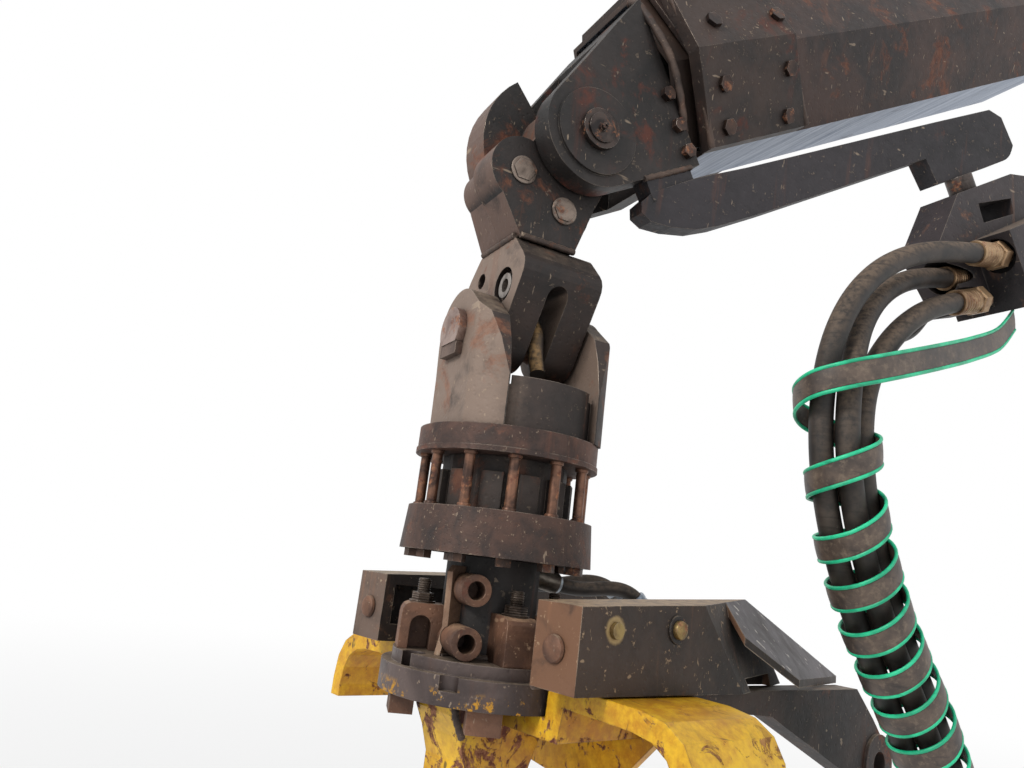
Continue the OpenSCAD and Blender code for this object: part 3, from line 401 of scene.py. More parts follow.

# The finish of each node. The lit sides given to some are painted light: a lighter colour where they face the
# light.
FINISHES = {
    "stick_tube": lambda: weathered("stick_paint", tint(66, 48, 42), tint(34, 28, 28), rusting=0.5, dust=0.08,
                                    shift=1.1, extra=painted_underside_reflection),
    "stick_collar": lambda: weathered("collar_paint", *DARK, rust=RED_RUST, rusting=0.6, dust=0.15,
                                      shift=2.3),
    "pad_screws": lambda: cut_metal("pad_screw_steel", tint(74, 56, 48), tint(40, 32, 30), 0.5, 0.6),
    "wear_pads": lambda: strip_plastic("pad_nylon",
                                       (tint(180, 172, 150), tint(206, 198, 178), tint(150, 136, 110)), 0.7,
                                       0.3),
    "ext_tube": lambda: bare_slide("extension_steel"),
    "tip_fork": lambda: weathered("fork_cast", *OILY, rust=RED_RUST, rusting=0.62, dust=0.1, shift=3.1,
                                  grain=0.9),
    "tip_bolts": lambda: cut_metal("tip_bolt_steel", tint(80, 62, 54), tint(42, 34, 32), 1.5, 0.6),
    "pin_a": lambda: cut_metal("tip_pin_steel", tint(70, 60, 56), tint(34, 30, 30), 2.5, 0.5),
    "hose_arm": lambda: weathered("hose_arm_paint", tint(48, 44, 48), tint(28, 26, 30), rust=RUST,
                                  rusting=0.25, dust=0.08, shift=4.2),
    "swivel_pin": lambda: cut_metal("swivel_pin_steel", tint(92, 84, 80), tint(50, 44, 42), 3.0, 0.4),
    "hose_bracket": lambda: weathered("bracket_paint", tint(56, 48, 50), tint(32, 29, 32), rust=TAN_RUST,
                                      rusting=0.35, dust=0.12, shift=5.0),
    "link_head": lambda: weathered("link_head_cast", *OILY, rust=RUST, rusting=0.58, dust=0.12, shift=6.4,
                                   painted_lit_side=(LEFT, tint(104, 82, 72))),
    "link_bolts": lambda: cut_metal("link_bolt_steel", tint(132, 118, 108), tint(66, 56, 50), 3.6, 0.35),
    "middle_link": lambda: weathered("middle_link_cast", *DARK, rust=RUST, rusting=0.4, dust=0.15, shift=7.0,
                                     painted_lit_side=(LEFT, LIT_SIDE_CAST)),
    "recess_ring": lambda: cut_metal("recess_ring_steel", tint(150, 142, 136), tint(80, 72, 66), 4.1, 0.3),
    "clevis": lambda: weathered("clevis_cast", tint(64, 52, 47), tint(36, 30, 28), rust=tint(140, 92, 66),
                                rusting=0.45, dust=0.2, shift=8.3, painted_lit_side=(LEFT, LIT_SIDE_CAST),
                                bare_edge=0.8),
    "pin_d": lambda: cut_metal("link_pin_steel", tint(158, 136, 126), tint(116, 92, 82), 4.8, 0.45, 0.4),
    "pin_stops": lambda: weathered("stop_cast", *CAST, rusting=0.3, shift=8.8),
    "upper_ring": lambda: weathered("upper_ring_steel", tint(100, 70, 58), tint(48, 35, 31),
                                    rust=tint(136, 82, 58), rusting=0.5, dust=0.3, shift=9.1, grain=1.6,
                                    bare_edge=0.9),
    "tie_bolts": lambda: cut_metal("tie_bolt_steel", tint(122, 88, 70), tint(62, 46, 40), 5.3, 0.7),
    "stator": lambda: weathered("stator_cast", tint(62, 50, 44), tint(26, 22, 21), rusting=0.4, dust=0.1,
                                shift=9.9),
    "lower_ring": lambda: weathered("lower_ring_steel", tint(82, 58, 48), tint(36, 28, 26),
                                    rust=tint(128, 80, 54), rusting=0.5, dust=0.4, shift=10.2, grain=2.0,
                                    bare_edge=0.9),
    "ring_bolts": lambda: cut_metal("ring_bolt_steel", tint(84, 64, 54), tint(44, 34, 30), 5.9, 0.6),
    "neck": lambda: weathered("neck_steel", *OILY, rusting=0.3, dust=0.05, shift=11.2),
    "port_tubes": lambda: weathered("port_steel", *RUSTY, rust=RED_RUST, pale=tint(196, 160, 128),
                                    rusting=0.35, dust=0.3, shift=12.0, grain=1.6),
    "lugs": lambda: weathered("lug_cast", *RUSTY, rust=RED_RUST, pale=tint(200, 164, 132), rusting=0.4,
                              dust=0.35, shift=12.9, grain=1.4),
    "lug_studs": lambda: cut_metal("stud_steel", tint(132, 116, 104), tint(70, 58, 50), 6.4, 0.4,
                                   thread=0.0034),
    "rib": lambda: weathered("rib_plate", tint(160, 130, 106), tint(112, 84, 66), rusting=0.25, dust=0.4,
                             shift=13.2, grain=1.5),
    "disc": lambda: weathered("disc_steel", tint(98, 84, 80), tint(60, 50, 48), rust=tint(112, 76, 58),
                              rusting=0.35, dust=0.35, shift=14.0, metal=0.3, rough=0.5, extra=disc_face),
    "arch": lambda: yellow_coat("arch_yellow", 15.0, 0.45),
    "stem": lambda: yellow_coat("stem_yellow", 16.0, 0.85),
    "under_lugs": lambda: weathered("under_lug_steel", *RUSTY, rusting=0.5, shift=16.6, grain=1.4),
    "guard_near": lambda: weathered("near_box_plate", tint(62, 48, 40), tint(36, 29, 26), rust=TAN_RUST,
                                    pale=tint(190, 162, 130), rusting=0.3, dust=0.4, shift=17.1,
                                    painted_lit_side=(HANGER_LEFT, tint(122, 86, 62)), bare_edge=0.9,
                                    extra=near_box_sheen_and_marks),
    "guard_far": lambda: weathered("far_box_plate", tint(66, 54, 48), tint(40, 34, 32), rust=TAN_RUST,
                                   pale=tint(186, 164, 136), rusting=0.4, dust=0.4, shift=18.6,
                                   painted_lit_side=(HANGER_LEFT, tint(112, 92, 80)), bare_edge=0.9),
    "guard_bolts": lambda: cut_metal("box_bolt_steel", tint(150, 128, 80), tint(96, 76, 52), 7.2, 0.35),
    "arm_near": lambda: weathered("near_arm_plate", *DARK, rusting=0.5, dust=0.2, shift=19.2),
    "arm_far": lambda: weathered("far_arm_plate", *DARK, rusting=0.5, dust=0.2, shift=20.2),
    "ferrules": lambda: cut_metal("ferrule_steel", tint(170, 140, 106), tint(120, 92, 68), 8.0, 0.35),
    "hose_ends": lambda: cut_metal("hose_end_steel", tint(160, 150, 136), tint(100, 88, 76), 8.7, 0.25),
    "neck_fittings": lambda: cut_metal("fitting_steel", tint(150, 142, 132), tint(88, 80, 72), 9.3, 0.3),
    "hose_a": lambda: rubber_skin("hose_rubber_a", 0.0),
    "hose_b": lambda: rubber_skin("hose_rubber_b", 1.7, 0.6),
    "hose_c": lambda: rubber_skin("hose_rubber_c", 3.3, 0.55),
    "thin_hose": lambda: rubber_skin("thin_hose_rubber", 4.4, 0.3),
    "link_hose": lambda: rubber_skin("link_hose_rubber", 5.5, 1.0, tint(176, 140, 92)),
    "neck_hoses": lambda: rubber_skin("neck_hose_rubber", 6.6, 0.5),
    "spiral_guard": lambda: strip_plastic("guard_strip_plastic",
                                          (tint(58, 50, 46), tint(96, 82, 72), tint(36, 34, 34)), 7.7, 0.5),
    "strip_edges": lambda: strip_plastic("green_edge_plastic",
                                         (tint(20, 164, 120), tint(44, 214, 158), tint(12, 124, 92)), 8.8,
                                         0.08, 0.34),
}
MATERIALS = {}
for node_name, node_piece in NODES.items():
    MATERIALS[node_name] = FINISHES[node_name]()
    for slot in node_piece.material_slots:
        slot.material = MATERIALS[node_name]
    if not node_piece.material_slots:
        node_piece.data.materials.append(MATERIALS[node_name])


# The bundle hangs from the extension and, from the loose turn down, follows the link towards the head; its
# pieces are tied to neither body.
BUNDLE_BODIES = ("extension", "link")


# Making of pieces
def keep(name, bm, body, material, smooth=35):
    """Turns a bmesh into a piece that rides on a body, or, for the bundle, a loose piece with its place baked
    into its mesh.
    """
    mesh = bpy.data.meshes.new(name)
    bm.to_mesh(mesh)
    bm.free()
    mesh.shade_smooth()
    mesh.set_sharp_from_angle(angle=math.radians(smooth))
    mesh.materials.append(material)
    piece = bpy.data.objects.new(name, mesh)
    scene.collection.objects.link(piece)
    if body == BUNDLE_BODIES:
        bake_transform(piece)
    else:
        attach(piece, body)
    return piece


def aim(point, way):
    """Places a turned piece at a point with its Z along a direction."""
    return Matrix.Translation(point) @ Vector(way).to_track_quat("Z", "Y").to_matrix().to_4x4()


def turned(bm, profile, place, steps):
    """Spins a profile of (radius, height) in metres about Z and places it. Six steps make a hexagon."""
    before = set(bm.verts)
    ring = [bm.verts.new((r, 0, h)) for r, h in profile]
    edges = [bm.edges.new(pair) for pair in zip(ring, ring[1:])]
    bmesh.ops.spin(bm, geom=ring + edges, cent=(0, 0, 0), axis=(0, 0, 1), angle=2 * math.pi, steps=steps,
                   use_merge=True, use_duplicate=False)
    bmesh.ops.remove_doubles(bm, verts=[v for v in bm.verts if v not in before], dist=1e-6)
    verts = [v for v in bm.verts if v not in before]
    faces = list(dict.fromkeys(f for v in verts for f in v.link_faces))
    bmesh.ops.recalc_face_normals(bm, faces=faces)
    bmesh.ops.transform(bm, matrix=place, verts=verts)


def at(line, i):
    """Point i of a curve, or its nearest end."""
    return line[max(0, min(len(line) - 1, i))]


def smooth_line(line, n):
    """A smooth curve through points, n steps between two of them."""
    out = []
    for i in range(len(line) - 1):
        a, b, c, d = at(line, i - 1), line[i], line[i + 1], at(line, i + 2)
        for k in range(n):
            t = k / n
            bend = (2 * a - 5 * b + 4 * c - d) * t * t
            out.append(0.5 * (2 * b + (c - a) * t + bend + (3 * b - a - 3 * c + d) * t ** 3))
    return out + [line[-1]]


def eased(line, times):
    """Takes the kinks out of a curve, its ends held."""
    for _ in range(times):
        line = line[:2] + [(a + 2 * b + c) / 4 for a, b, c in zip(line[1:], line[2:], line[3:])] + line[-1:]
    return line


def heading(line, i):
    return (at(line, i + 1) - at(line, i - 1)).normalized()


def side_of(t):
    """The side from which turns and places round the bundle are counted, square to its heading."""
    return t.cross(Vector((0.44, 0.87, 0))).normalized()


def rod(name, line, radius, body, material, round_steps, closed=False, uneven=0.0):
    """A round rod as a curve along its centreline. An uneven one swells and thins, as a weld bead does."""
    data = bpy.data.curves.new(name, "CURVE")
    data.dimensions = "3D"
    data.bevel_depth = radius
    data.bevel_resolution = round_steps
    data.use_fill_caps = True
    spline = data.splines.new("POLY")
    spline.points.add(len(line) - 1)
    for k, (point, place) in enumerate(zip(spline.points, line)):
        point.co = (*place, 1)
        point.radius = 1.0 - uneven + uneven * math.sin(k * 2.1)
    spline.use_cyclic_u = closed
    spline.use_smooth = True
    data.materials.append(material)
    piece = bpy.data.objects.new(name, data)
    scene.collection.objects.link(piece)
    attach(piece, body)
    return piece


def swept(bm, rings):
    """Joins rings of points into one closed skin."""
    last = None
    for points in rings:
        ring = [bm.verts.new(p) for p in points]
        edges = [bm.edges.new((ring[k], ring[(k + 1) % len(ring)])) for k in range(len(ring))]
        if last:
            bmesh.ops.bridge_loops(bm, edges=last + edges)
        else:
            bmesh.ops.contextual_create(bm, geom=edges)
        last = edges
    bmesh.ops.contextual_create(bm, geom=last)
    bmesh.ops.recalc_face_normals(bm, faces=bm.faces[:])


def hose_mesh(name, line, diameter, material, sides):
    """A hose of the bundle as a mesh: rings square to its centreline, joined one to the next."""
    turns = [2 * math.pi * k / sides for k in range(sides)]
    side = heading(line, 0).orthogonal().normalized()
    rings = []
    for i, centre in enumerate(line):
        way = heading(line, i)
        side = (side - way * side.dot(way)).normalized()
        front = way.cross(side)
        rings.append([centre + diameter / 2 * (math.cos(a) * side + math.sin(a) * front) for a in turns])
    bm = bmesh.new()
    swept(bm, rings)
    return keep(name, bm, BUNDLE_BODIES, material, 60)


def line_length(line):
    return sum((b - a).length for a, b in zip(line, line[1:]))


# Hoses, in millimetres from the upper ring's middle: the routes of the part's solids.
# BUNDLE is the middle of the bundle and BUNDLE_END its last piece, where the hoses spread by FAN.
# A hose runs from its TOP in the bracket to its place beside the bundle's middle: [across, front].
BUNDLE = [Vector(p) for p in (
    (440, -300, 150), (440, -298, 90), (450, -294, 30), (472, -288, -38), (510, -280, -112),
    (562, -270, -190), (626, -261, -268), (692, -253, -346), (746, -247, -424), (792, -242, -500),
    (834, -238, -574))]
BUNDLE_END = [Vector((872, -235, -650)), Vector((906, -232, -724))]
FAN = 1.9
HOSE_PLACES = ((-33, -6), (0, 18), (33, -6))
THIN_PLACE = (12, -26)
HOSE_TOPS = (
    ((752, -328, 486), (680, -330, 468), (592, -330, 440), (508, -328, 398), (440, -324, 334),
     (402, -318, 264), (394, -305, 204)),
    ((764, -262, 458), (690, -270, 438), (606, -280, 404), (532, -290, 352), (474, -300, 284),
     (446, -312, 214)),
    ((730, -302, 388), (664, -304, 364), (600, -306, 324), (546, -304, 272), (508, -298, 214)))
THIN_TOP = ((787, -228, 413.9), (758, -229, 385.2), (722, -236, 352), (678, -249, 322), (624, -260, 298),
            (574, -264, 262), (532, -261, 212))
LINK_ROUTE = [(8, y, z) for y, z in ((76, 214), (44, 223), (6.9, 220.8), (-19.7, 216.15), (-35.75, 198.7),
                                     (-39.2, 175.2), (-45, 152), (-55, 128))]
NECK_ROUTES = (
    ((92, -34, -198), (130, -44, -206), (172, -60, -204), (210, -78, -194), (244, -98, -206),
     (262, -110, -240), (266, -114, -280), (266, -114, -316)),
    ((88, 20, -206), (130, 20, -208), (176, 10, -200), (220, -6, -188), (262, -24, -196), (288, -36, -230),
     (294, -40, -280), (294, -40, -316)))
HOSE_D, THIN_D, LINK_D, NECK_D = 38, 16, 26, 24
HOSE_EASING, THIN_EASING, LINK_EASING, NECK_EASING = 80, 20, 0, 40
CURVE_STEPS = 8


def beside(i, across, front):
    """Offset from point i of the bundle's middle to a place beside it."""
    t = heading(BUNDLE, i)
    u = side_of(t)
    return across * u + front * t.cross(u)


def hose_line(points, place, times):
    """A hose's centreline in metres through points in millimetres, eased so many times."""
    return [place(*p) for p in eased(smooth_line([Vector(p) for p in points], CURVE_STEPS), times)]


def big_hose_points(top, across, front):
    """A big hose's way from the bracket, down the bundle and out into its spread end."""
    last = beside(len(BUNDLE) - 1, across, front)
    return [*top, *(b + beside(i, across, front) for i, b in enumerate(BUNDLE)),
            BUNDLE_END[0] + last * (1 + FAN) / 2, BUNDLE_END[1] + last * FAN]


hose_lines = [hose_line(big_hose_points(top, *spot), from_rotor, HOSE_EASING)
              for top, spot in zip(HOSE_TOPS, HOSE_PLACES)]
hoses = []
for letter, line in zip("abc", hose_lines):
    hose = hose_mesh("hose_cover_" + letter, line, HOSE_D / 1000, MATERIALS["hose_" + letter], 24)
    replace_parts(hose, "hose_" + letter)
    hoses.append(hose)
thin_points = [*THIN_TOP, *(b + beside(i, *THIN_PLACE) for i, b in enumerate(BUNDLE[:-1]))]
thin_line = hose_line(thin_points, from_rotor, THIN_EASING)
thin_cover = hose_mesh("thin_hose_cover", thin_line, THIN_D / 1000, MATERIALS["thin_hose"], 14)
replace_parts(thin_cover, "thin_hose")
link_line = hose_line(LINK_ROUTE, from_rotor, LINK_EASING)
link_cover = rod("link_hose_cover", link_line, LINK_D / 2000, "link", MATERIALS["link_hose"],
                 6)
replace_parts(link_cover, "link_hose")
neck_covers = []
for number, route in enumerate(NECK_ROUTES):
    line = hose_line(route, from_hanger, NECK_EASING)
    cover = rod("neck_hose_cover_%d" % number, line, NECK_D / 2000, "hanger", MATERIALS["neck_hoses"],
                6)
    neck_covers.append((cover, line))
for cover, _ in neck_covers:
    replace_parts(cover, "neck_hoses")


# Spiral guard, in millimetres: a flat strip with a green bead on each edge, wound down the bundle.
# It comes from the bracket in the LOOSE turn and starts on the bundle at STRIP_FROM. Its FIRST_TURNS are
# drawn out.
LOOSE = ((925, -300, 406), (834, -322, 340), (718, -342, 288), (604, -360, 244), (512, -370, 210),
         (440, -370, 184), (390, -346, 166), (366, -300, 152), (384, -250, 138), (432, -224, 124),
         (482, -240, 108))
LOOSE_STEPS, LOOSE_OVERLAP = 6, 4
STRIP_W, STRIP_R, STRIP_PITCH, STRIP_FROM, STRIP_TURN = 33, 57.6, 78, 66, -62
DRAWN_OUT, FIRST_TURNS, TURN_STEP = 39, 1.5, 9.0
bundle_line = smooth_line(BUNDLE, CURVE_STEPS)
bundle_sum = [0.0]
for a, b in zip(bundle_line, bundle_line[1:]):
    bundle_sum.append(bundle_sum[-1] + (b - a).length)


def on_bundle(s):
    """Point and heading of the bundle s millimetres down it."""
    i = max(k for k in range(len(bundle_sum)) if bundle_sum[k] <= s or k == 0)
    i = min(i, len(bundle_line) - 2)
    t = (s - bundle_sum[i]) / (bundle_sum[i + 1] - bundle_sum[i])
    point = bundle_line[i].lerp(bundle_line[i + 1], t)
    return point, heading(bundle_line, i).lerp(heading(bundle_line, i + 1), t).normalized()


def strip_frames():
    """Middle of the strip, its outward side and its own width direction, ring by ring."""
    out = []
    loose = smooth_line([Vector(p) for p in LOOSE], LOOSE_STEPS)
    for i in range(len(loose) - LOOSE_OVERLAP):
        t = heading(loose, i)
        out.append((loose[i], -t.cross(Vector((0, 0, 1))).normalized(), Vector((0.1, 0, -1))))
    i = 0
    while True:
        turns = i * TURN_STEP / 360
        along = STRIP_FROM + turns * STRIP_PITCH + DRAWN_OUT * min(1, turns / FIRST_TURNS)
        if along > bundle_sum[-1]:
            return out
        c, t = on_bundle(along)
        u = side_of(t)
        a = math.radians(STRIP_TURN + i * TURN_STEP)
        n = math.cos(a) * u + math.sin(a) * t.cross(u)
        wave = 0.5 * math.sin(i * 0.37) + 0.3 * math.sin(i * 0.91)
        out.append((c + (STRIP_R + 0.3 * wave) * n, n, t + 0.02 * wave * n))
        i += 1


def strip_body(name, outline, material):
    """Sweeps an outline of (along the width, outward) in millimetres over the strip's rings."""
    bm = bmesh.new()
    swept(bm, [[from_rotor(*(centre + w * width + o * outward)) for w, o in outline]
               for centre, outward, width in strip_frames()])
    return keep(name, bm, BUNDLE_BODIES, material, 50)


half = STRIP_W / 2
strip_outline = [(-half, -1.6), (-half * 0.5, -2.0), (half * 0.5, -2.0), (half, -1.6), (half, 1.4),
                 (half * 0.55, 2.0), (0, 2.2), (-half * 0.55, 2.0), (-half, 1.4)]
guard = strip_body("guard_strip_band", strip_outline, MATERIALS["spiral_guard"])
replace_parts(guard, "spiral_guard")
BEAD_HALF_W, BEAD_HALF_T, BEAD_SIDES = 3.3, 2.7, 10
for name, sign in (("green_edge_upper", -1), ("green_edge_lower", 1)):
    corners = [2 * math.pi * k / BEAD_SIDES for k in range(BEAD_SIDES)]
    outline = [(sign * (half + BEAD_HALF_W + BEAD_HALF_W * math.cos(a)), BEAD_HALF_T * math.sin(a))
               for a in corners]
    bead = strip_body(name, outline, MATERIALS["strip_edges"])
    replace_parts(bead, "strip_edges")


# Profiles of turned pieces are lists of (radius, height) in metres
def crimped(bm, end, before):
    """A crimped sleeve with its nut and stub, at a hose's end."""
    place = aim(end, end - before)
    sleeve = [(0.0, 0.0), (0.0225, 0.0), (0.0238, 0.0015)]
    for k in range(6):
        h = 0.005 + k * 0.0085
        sleeve += [(0.0238, h), (0.0226, h + 0.0012), (0.0226, h + 0.0034), (0.0238, h + 0.0046)]
    sleeve += [(0.0238, 0.060), (0.0225, 0.062), (0.0, 0.062)]
    nut = [(0.0, 0.062), (0.0255, 0.062), (0.0285, 0.0645), (0.0285, 0.0835), (0.0255, 0.086), (0.0, 0.086)]
    stub = [(0.0, 0.086), (0.0168, 0.086), (0.0168, 0.1055), (0.0, 0.1055)]
    for profile, steps in ((sleeve, 40), (nut, 6), (stub, 32)):
        turned(bm, profile, place, steps)


# The three sleeves in the bracket, and one at each hose's far end
sleeves = bmesh.new()
for line in hose_lines:
    crimped(sleeves, line[0], line[1])
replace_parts(keep("crimped_sleeves", sleeves, "extension", MATERIALS["ferrules"]), "ferrules")
for letter, hose, line in zip("abc", hoses, hose_lines):
    sleeve = bmesh.new()
    crimped(sleeve, line[-1], line[-2])
    end = keep("hose_end_fitting_" + letter, sleeve, BUNDLE_BODIES, MATERIALS["hose_ends"])
    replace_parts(end, "hose_ends")
    line_length(line)
line_length(thin_line)
line_length(link_line)
for cover, line in neck_covers:
    line_length(line)


def circle(radius, height, n):
    return [(radius * math.cos(2 * math.pi * k / n), radius * math.sin(2 * math.pi * k / n), height)
            for k in range(n)]


# Weld beads: [name, body, radius in millimetres, place function, points in millimetres, closed]
WELDS = [
    ("collar_front_weld", "stick", 7, from_tip, [(266, -131, 260), (245, -160, 92), (240, -131, -76)], False),
    ("collar_rear_weld", "stick", 7, from_tip, [(509, -131, 260), (507, -160, 92), (521, -131, -76)], False),
    ("fork_tube_weld", "extension", 8, from_tip,
     [(206, -92, 232), (206, -116, 208), (206, -142, 92), (206, -116, -22), (206, -92, -48)], False),
    ("arm_foot_weld", "extension", 6, from_tip, [(66, -119, -97), (126, -119, -98), (184, -119, -98)], False),
    ("head_link_weld_near", "link", 6, from_rotor, [(-62, -70, 349), (-20, -70, 349), (44, -70, 349)], False),
    ("head_link_weld_left", "link", 6, from_rotor, [(-67, -60, 349), (-67, 0, 349), (-67, 58, 349)], False),
    ("rib_weld", "hanger", 4, from_hanger, [(-76, -22, -320), (-88, -25, -320), (-104, -28, -320)], False),
    ("disc_neck_weld", "hanger", 7, from_hanger, circle(77, -318, 36), True),
    ("near_box_weld", "hanger", 5, from_hanger,
     [(-70, -190, -331), (40, -190, -331), (180, -190, -331)], False),
    ("near_arm_weld", "hanger", 6, from_hanger,
     [(184, -249, -334), (184, -249, -350), (184, -230, -354)], False),
    ("arch_stem_weld", "hanger", 6, from_hanger,
     [(-82, -49, -379), (-78, -49, -400), (-62, -49, -430)], False),
]
weld_steel = weathered("weld_steel", tint(92, 74, 64), tint(52, 42, 38), rusting=0.5, dust=0.2, shift=21.0,
                       grain=2.2)
for name, body, radius, place, points, closed in WELDS:
    line = [place(*p) for p in points]
    if not closed:
        line = smooth_line(line, 10)
    rod(name, line, radius / 1000, body, weld_steel, 3, closed, uneven=0.1)

# Tip pin: a cap with a grease nipple on each end
CAP = [(0.0, 0.0), (0.0265, 0.0), (0.0265, 0.003), (0.0235, 0.0046), (0.011, 0.0046), (0.009, 0.0036),
       (0.0, 0.0036)]
NIPPLE = [(0.0, 0.003), (0.0055, 0.003), (0.0055, 0.010), (0.0030, 0.012), (0.0030, 0.016), (0.0, 0.017)]
HEAD_HALF_W, CHEEK_T, BOSS_T, PIN_HEAD = 76, 45, 5, 10
bm = bmesh.new()
for sign in (-1, 1):
    out = (HEAD_HALF_W + CHEEK_T + BOSS_T + PIN_HEAD) / 1000
    place = aim(TIP + Vector((0, sign * out, 0)), (0, sign, 0))
    turned(bm, CAP, place, 48)
    turned(bm, NIPPLE, place, 20)
keep("tip_pin_caps", bm, "extension", MATERIALS["pin_a"])

# Link bolts: a washer and a low hexagon on each side, sunk a little into the head
WASHER = [(0.0, 0.0), (0.0235, 0.0), (0.0245, 0.001), (0.0245, 0.003), (0.0232, 0.004), (0.0, 0.004)]
HEX_HEAD = [(0.0, 0.004), (0.0185, 0.004), (0.0205, 0.0055), (0.0205, 0.0058), (0.0, 0.0058)]
BOLT_R, BOLT_SUNK, BOLT_TURNS = 0.138, 0.006, (220.5, 262)
bm = bmesh.new()
for turn in BOLT_TURNS:
    a = math.radians(turn)
    spot = TIP + Vector((BOLT_R * math.cos(a), 0, BOLT_R * math.sin(a)))
    for sign in (-1, 1):
        place = aim(spot + Vector((0, sign * (HEAD_HALF_W / 1000 - BOLT_SUNK), 0)), (0, sign, 0))
        turned(bm, WASHER, place, 40)
        turned(bm, HEX_HEAD, place, 6)
keep("link_bolt_washers", bm, "link", MATERIALS["link_bolts"])

# Tie bolts: a collar under the upper ring and one on the lower ring
COLLAR = [(0.0, 0.0), (0.0106, 0.0), (0.0106, 0.0035), (0.0098, 0.005), (0.0086, 0.0055), (0.0, 0.0055)]
TIE_R, TIE_N, TIE_FIRST_TURN, TIE_BELOW_UPPER, TIE_ABOVE_LOWER = 132, 12, 8, -20.5, -104.5
bm = bmesh.new()
for k in range(TIE_N):
    a = math.radians(TIE_FIRST_TURN + 360 / TIE_N * k)
    for height, way in ((TIE_BELOW_UPPER, -1), (TIE_ABOVE_LOWER, 1)):
        turned(bm, COLLAR, aim(from_rotor(TIE_R * math.cos(a), TIE_R * math.sin(a), height), (0, 0, way)), 20)
keep("tie_bolt_collars", bm, "rotator", MATERIALS["tie_bolts"])

# Studs on the lugs: a washer under the nut and thread turns above it
STUD_WASHER = [(0.0, 0.0), (0.0205, 0.0), (0.0205, 0.0025), (0.0, 0.0025)]
STUD_R, LUG_TOP, LUG_TURNS = 106, -252, (150, 252, 330, 72)
threads = [(0.0, 0.015)]
for k in range(6):
    h = 0.0155 + k * 0.0033
    threads += [(0.0094, h), (0.0102, h + 0.0009), (0.0102, h + 0.0014), (0.0094, h + 0.0023)]
threads += [(0.0094, 0.0354), (0.0080, 0.0362), (0.0, 0.0362)]
bm = bmesh.new()
for turn in LUG_TURNS:
    a = math.radians(turn)
    place = aim(from_hanger(STUD_R * math.cos(a), STUD_R * math.sin(a), LUG_TOP), (0, 0, 1))
    turned(bm, STUD_WASHER, place, 28)
    turned(bm, threads, place, 24)
keep("stud_threads", bm, "hanger", MATERIALS["lug_studs"])

# Guard boxes: a domed bolt head on a dark washer in each side, and a bolt head in each end
PLATE = [(0.0, 0.0), (0.0195, 0.0), (0.02, 0.001), (0.0195, 0.003), (0.0, 0.003)]
DOME = [(0.0, 0.003), (0.013, 0.003), (0.0135, 0.007), (0.0125, 0.0098), (0.009, 0.012), (0.0, 0.0128)]
END_BOLT = [(0.0, 0.0), (0.0175, 0.0), (0.0185, 0.002), (0.017, 0.0062), (0.013, 0.0085), (0.006, 0.0095),
            (0.0, 0.0096)]
SIDE_BOLT_X, SIDE_BOLT_Y, SIDE_BOLT_Z = 124, 272, -241
END_BOLT_X, END_BOLT_Y, END_BOLT_Z = -75, 230, -278
washer_steel = weathered("washer_steel", *OILY, rusting=0.3, dust=0.1, shift=22.0, grain=2)
for name, side in (("near", -1), ("far", 1)):
    place = aim(from_hanger(SIDE_BOLT_X, side * SIDE_BOLT_Y, SIDE_BOLT_Z), hanger_way(0, side, 0))
    heads, plates = bmesh.new(), bmesh.new()
    turned(plates, PLATE, place, 36)
    turned(heads, DOME, place, 36)
    keep("box_bolt_heads_" + name, heads, "hanger", MATERIALS["guard_bolts"])
    keep("box_bolt_washers_" + name, plates, "hanger", washer_steel)
bm = bmesh.new()
for side in (-1, 1):
    place = aim(from_hanger(END_BOLT_X, side * END_BOLT_Y, END_BOLT_Z), hanger_way(-1, 0, 0))
    turned(bm, END_BOLT, place, 36)
end_bolt_steel = weathered("end_bolt_steel", *RUSTY, rusting=0.4, dust=0.3, shift=23.0, grain=2)
keep("box_end_bolts", bm, "hanger", end_bolt_steel)

# Zinc-plated sleeves on the neck hoses
SLEEVE = [(0.0, -0.012), (0.0135, -0.012), (0.0148, -0.010), (0.0148, -0.003), (0.0138, -0.001),
          (0.0148, 0.001), (0.0148, 0.010), (0.0135, 0.012), (0.0, 0.012)]
bm = bmesh.new()
for _, line in neck_covers:
    for k in (2, len(line) * 6 // 10, len(line) - 6):
        turned(bm, SLEEVE, aim(line[k], heading(line, k)), 28)
zinc = cut_metal("zinc_sleeve_steel", tint(176, 184, 192), tint(104, 116, 132), 9.9, 0.1)
keep("neck_hose_sleeves", bm, "hanger", zinc)

# Floor: pale grey under the part, fading to plain white with the distance
FLOOR_X, FLOOR_Y, FLOOR_Z, FLOOR_SIZE = -1.0, 4.0, -2.75, 40
floor_bm = bmesh.new()
bmesh.ops.create_grid(floor_bm, x_segments=1, y_segments=1, size=FLOOR_SIZE)
bmesh.ops.translate(floor_bm, verts=floor_bm.verts, vec=(FLOOR_X, FLOOR_Y, FLOOR_Z))
floor_mesh = bpy.data.meshes.new("studio_floor")
floor_bm.to_mesh(floor_mesh)
floor_bm.free()
floor = bpy.data.objects.new("studio_floor", floor_mesh)
scene.collection.objects.link(floor)
f = Finish("floor_paint")
lit = f.part("ShaderNodeBsdfDiffuse", {}, {"Color": (0.86, 0.86, 0.86, 1)})
glow = f.part("ShaderNodeEmission", {}, {"Color": (1, 1, 1, 1), "Strength": 1.0})
seen = f.part("ShaderNodeLightPath", {}, {}, "Is Camera Ray")
mirrored = f.part("ShaderNodeLightPath", {}, {}, "Is Glossy Ray")
away = f.vector("DISTANCE", f.point, (FLOOR_X, 0.0, FLOOR_Z), out="Value")
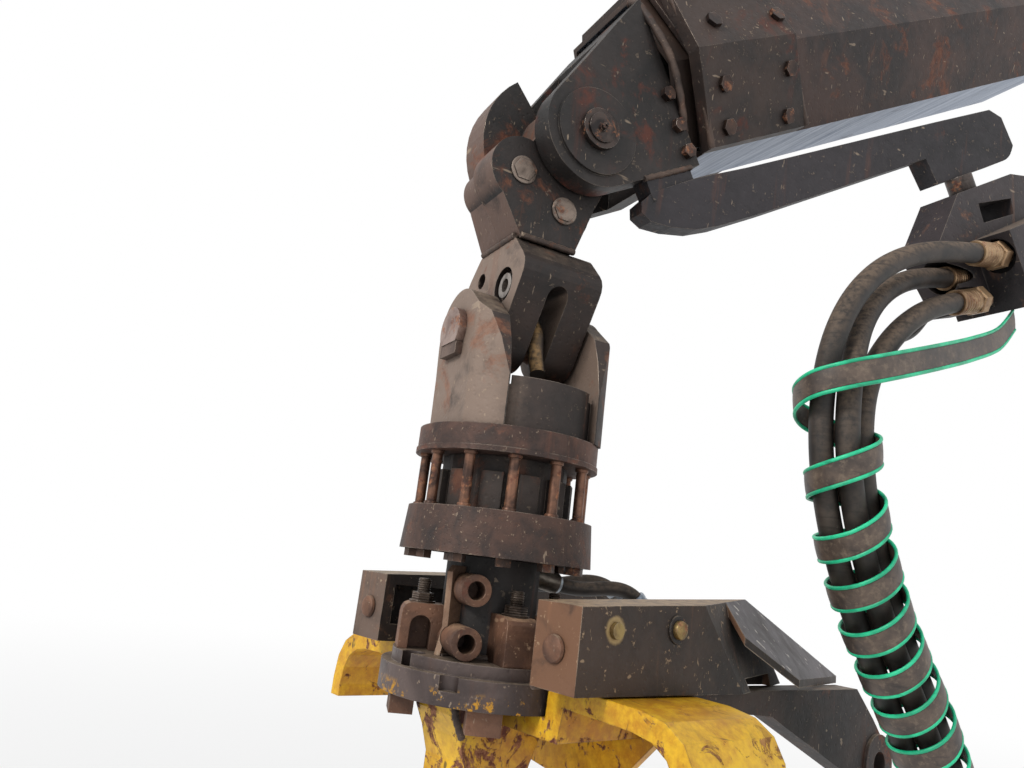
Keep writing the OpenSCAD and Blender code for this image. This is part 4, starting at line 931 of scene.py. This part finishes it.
fade = f.rise(away, 1.5, 9.0) * 0.5 + 0.5
mixed = f.part("ShaderNodeMixShader", {}, {0: seen.most(mirrored) * fade, 1: lit, 2: glow})
f.part("ShaderNodeOutputMaterial", {}, {"Surface": mixed})
floor_mesh.materials.append(f.material)

# World: a soft fill for the part, and plain white where the camera, a reflection or clear matter sees it
world = bpy.data.worlds.new("studio")
scene.world = world
world.use_nodes = True
tree = world.node_tree
tree.nodes.clear()
path = tree.nodes.new("ShaderNodeLightPath")
fill, white = tree.nodes.new("ShaderNodeBackground"), tree.nodes.new("ShaderNodeBackground")
fill.inputs["Color"].default_value = (0.96, 0.98, 1.0, 1)
fill.inputs["Strength"].default_value = 0.62
white.inputs["Color"].default_value = (1, 1, 1, 1)
white.inputs["Strength"].default_value = 1.0
either, also = tree.nodes.new("ShaderNodeMath"), tree.nodes.new("ShaderNodeMath")
either.operation = also.operation = "MAXIMUM"
tree.links.new(path.outputs["Is Camera Ray"], either.inputs[0])
tree.links.new(path.outputs["Is Glossy Ray"], either.inputs[1])
tree.links.new(either.outputs[0], also.inputs[0])
tree.links.new(path.outputs["Is Transmission Ray"], also.inputs[1])
blend, sky = tree.nodes.new("ShaderNodeMixShader"), tree.nodes.new("ShaderNodeOutputWorld")
tree.links.new(also.outputs[0], blend.inputs[0])
tree.links.new(fill.outputs[0], blend.inputs[1])
tree.links.new(white.outputs[0], blend.inputs[2])
tree.links.new(blend.outputs[0], sky.inputs[0])

# Lamps: [name, direction to the lamp, strength, spread in degrees]
LAMPS = (("key_sun", (-0.82, -0.22, 0.52), 1.7, 14), ("fill_sun", (0.2, -1.0, 0.3), 0.35, 60))
for name, way, strength, spread in LAMPS:
    lamp = bpy.data.lights.new(name, "SUN")
    lamp.energy = strength
    lamp.angle = math.radians(spread)
    lamp.color = (1.0, 0.97, 0.93)
    holder = bpy.data.objects.new(name, lamp)
    scene.collection.objects.link(holder)
    holder.matrix_world = Vector(way).to_track_quat("Z", "Y").to_matrix().to_4x4()
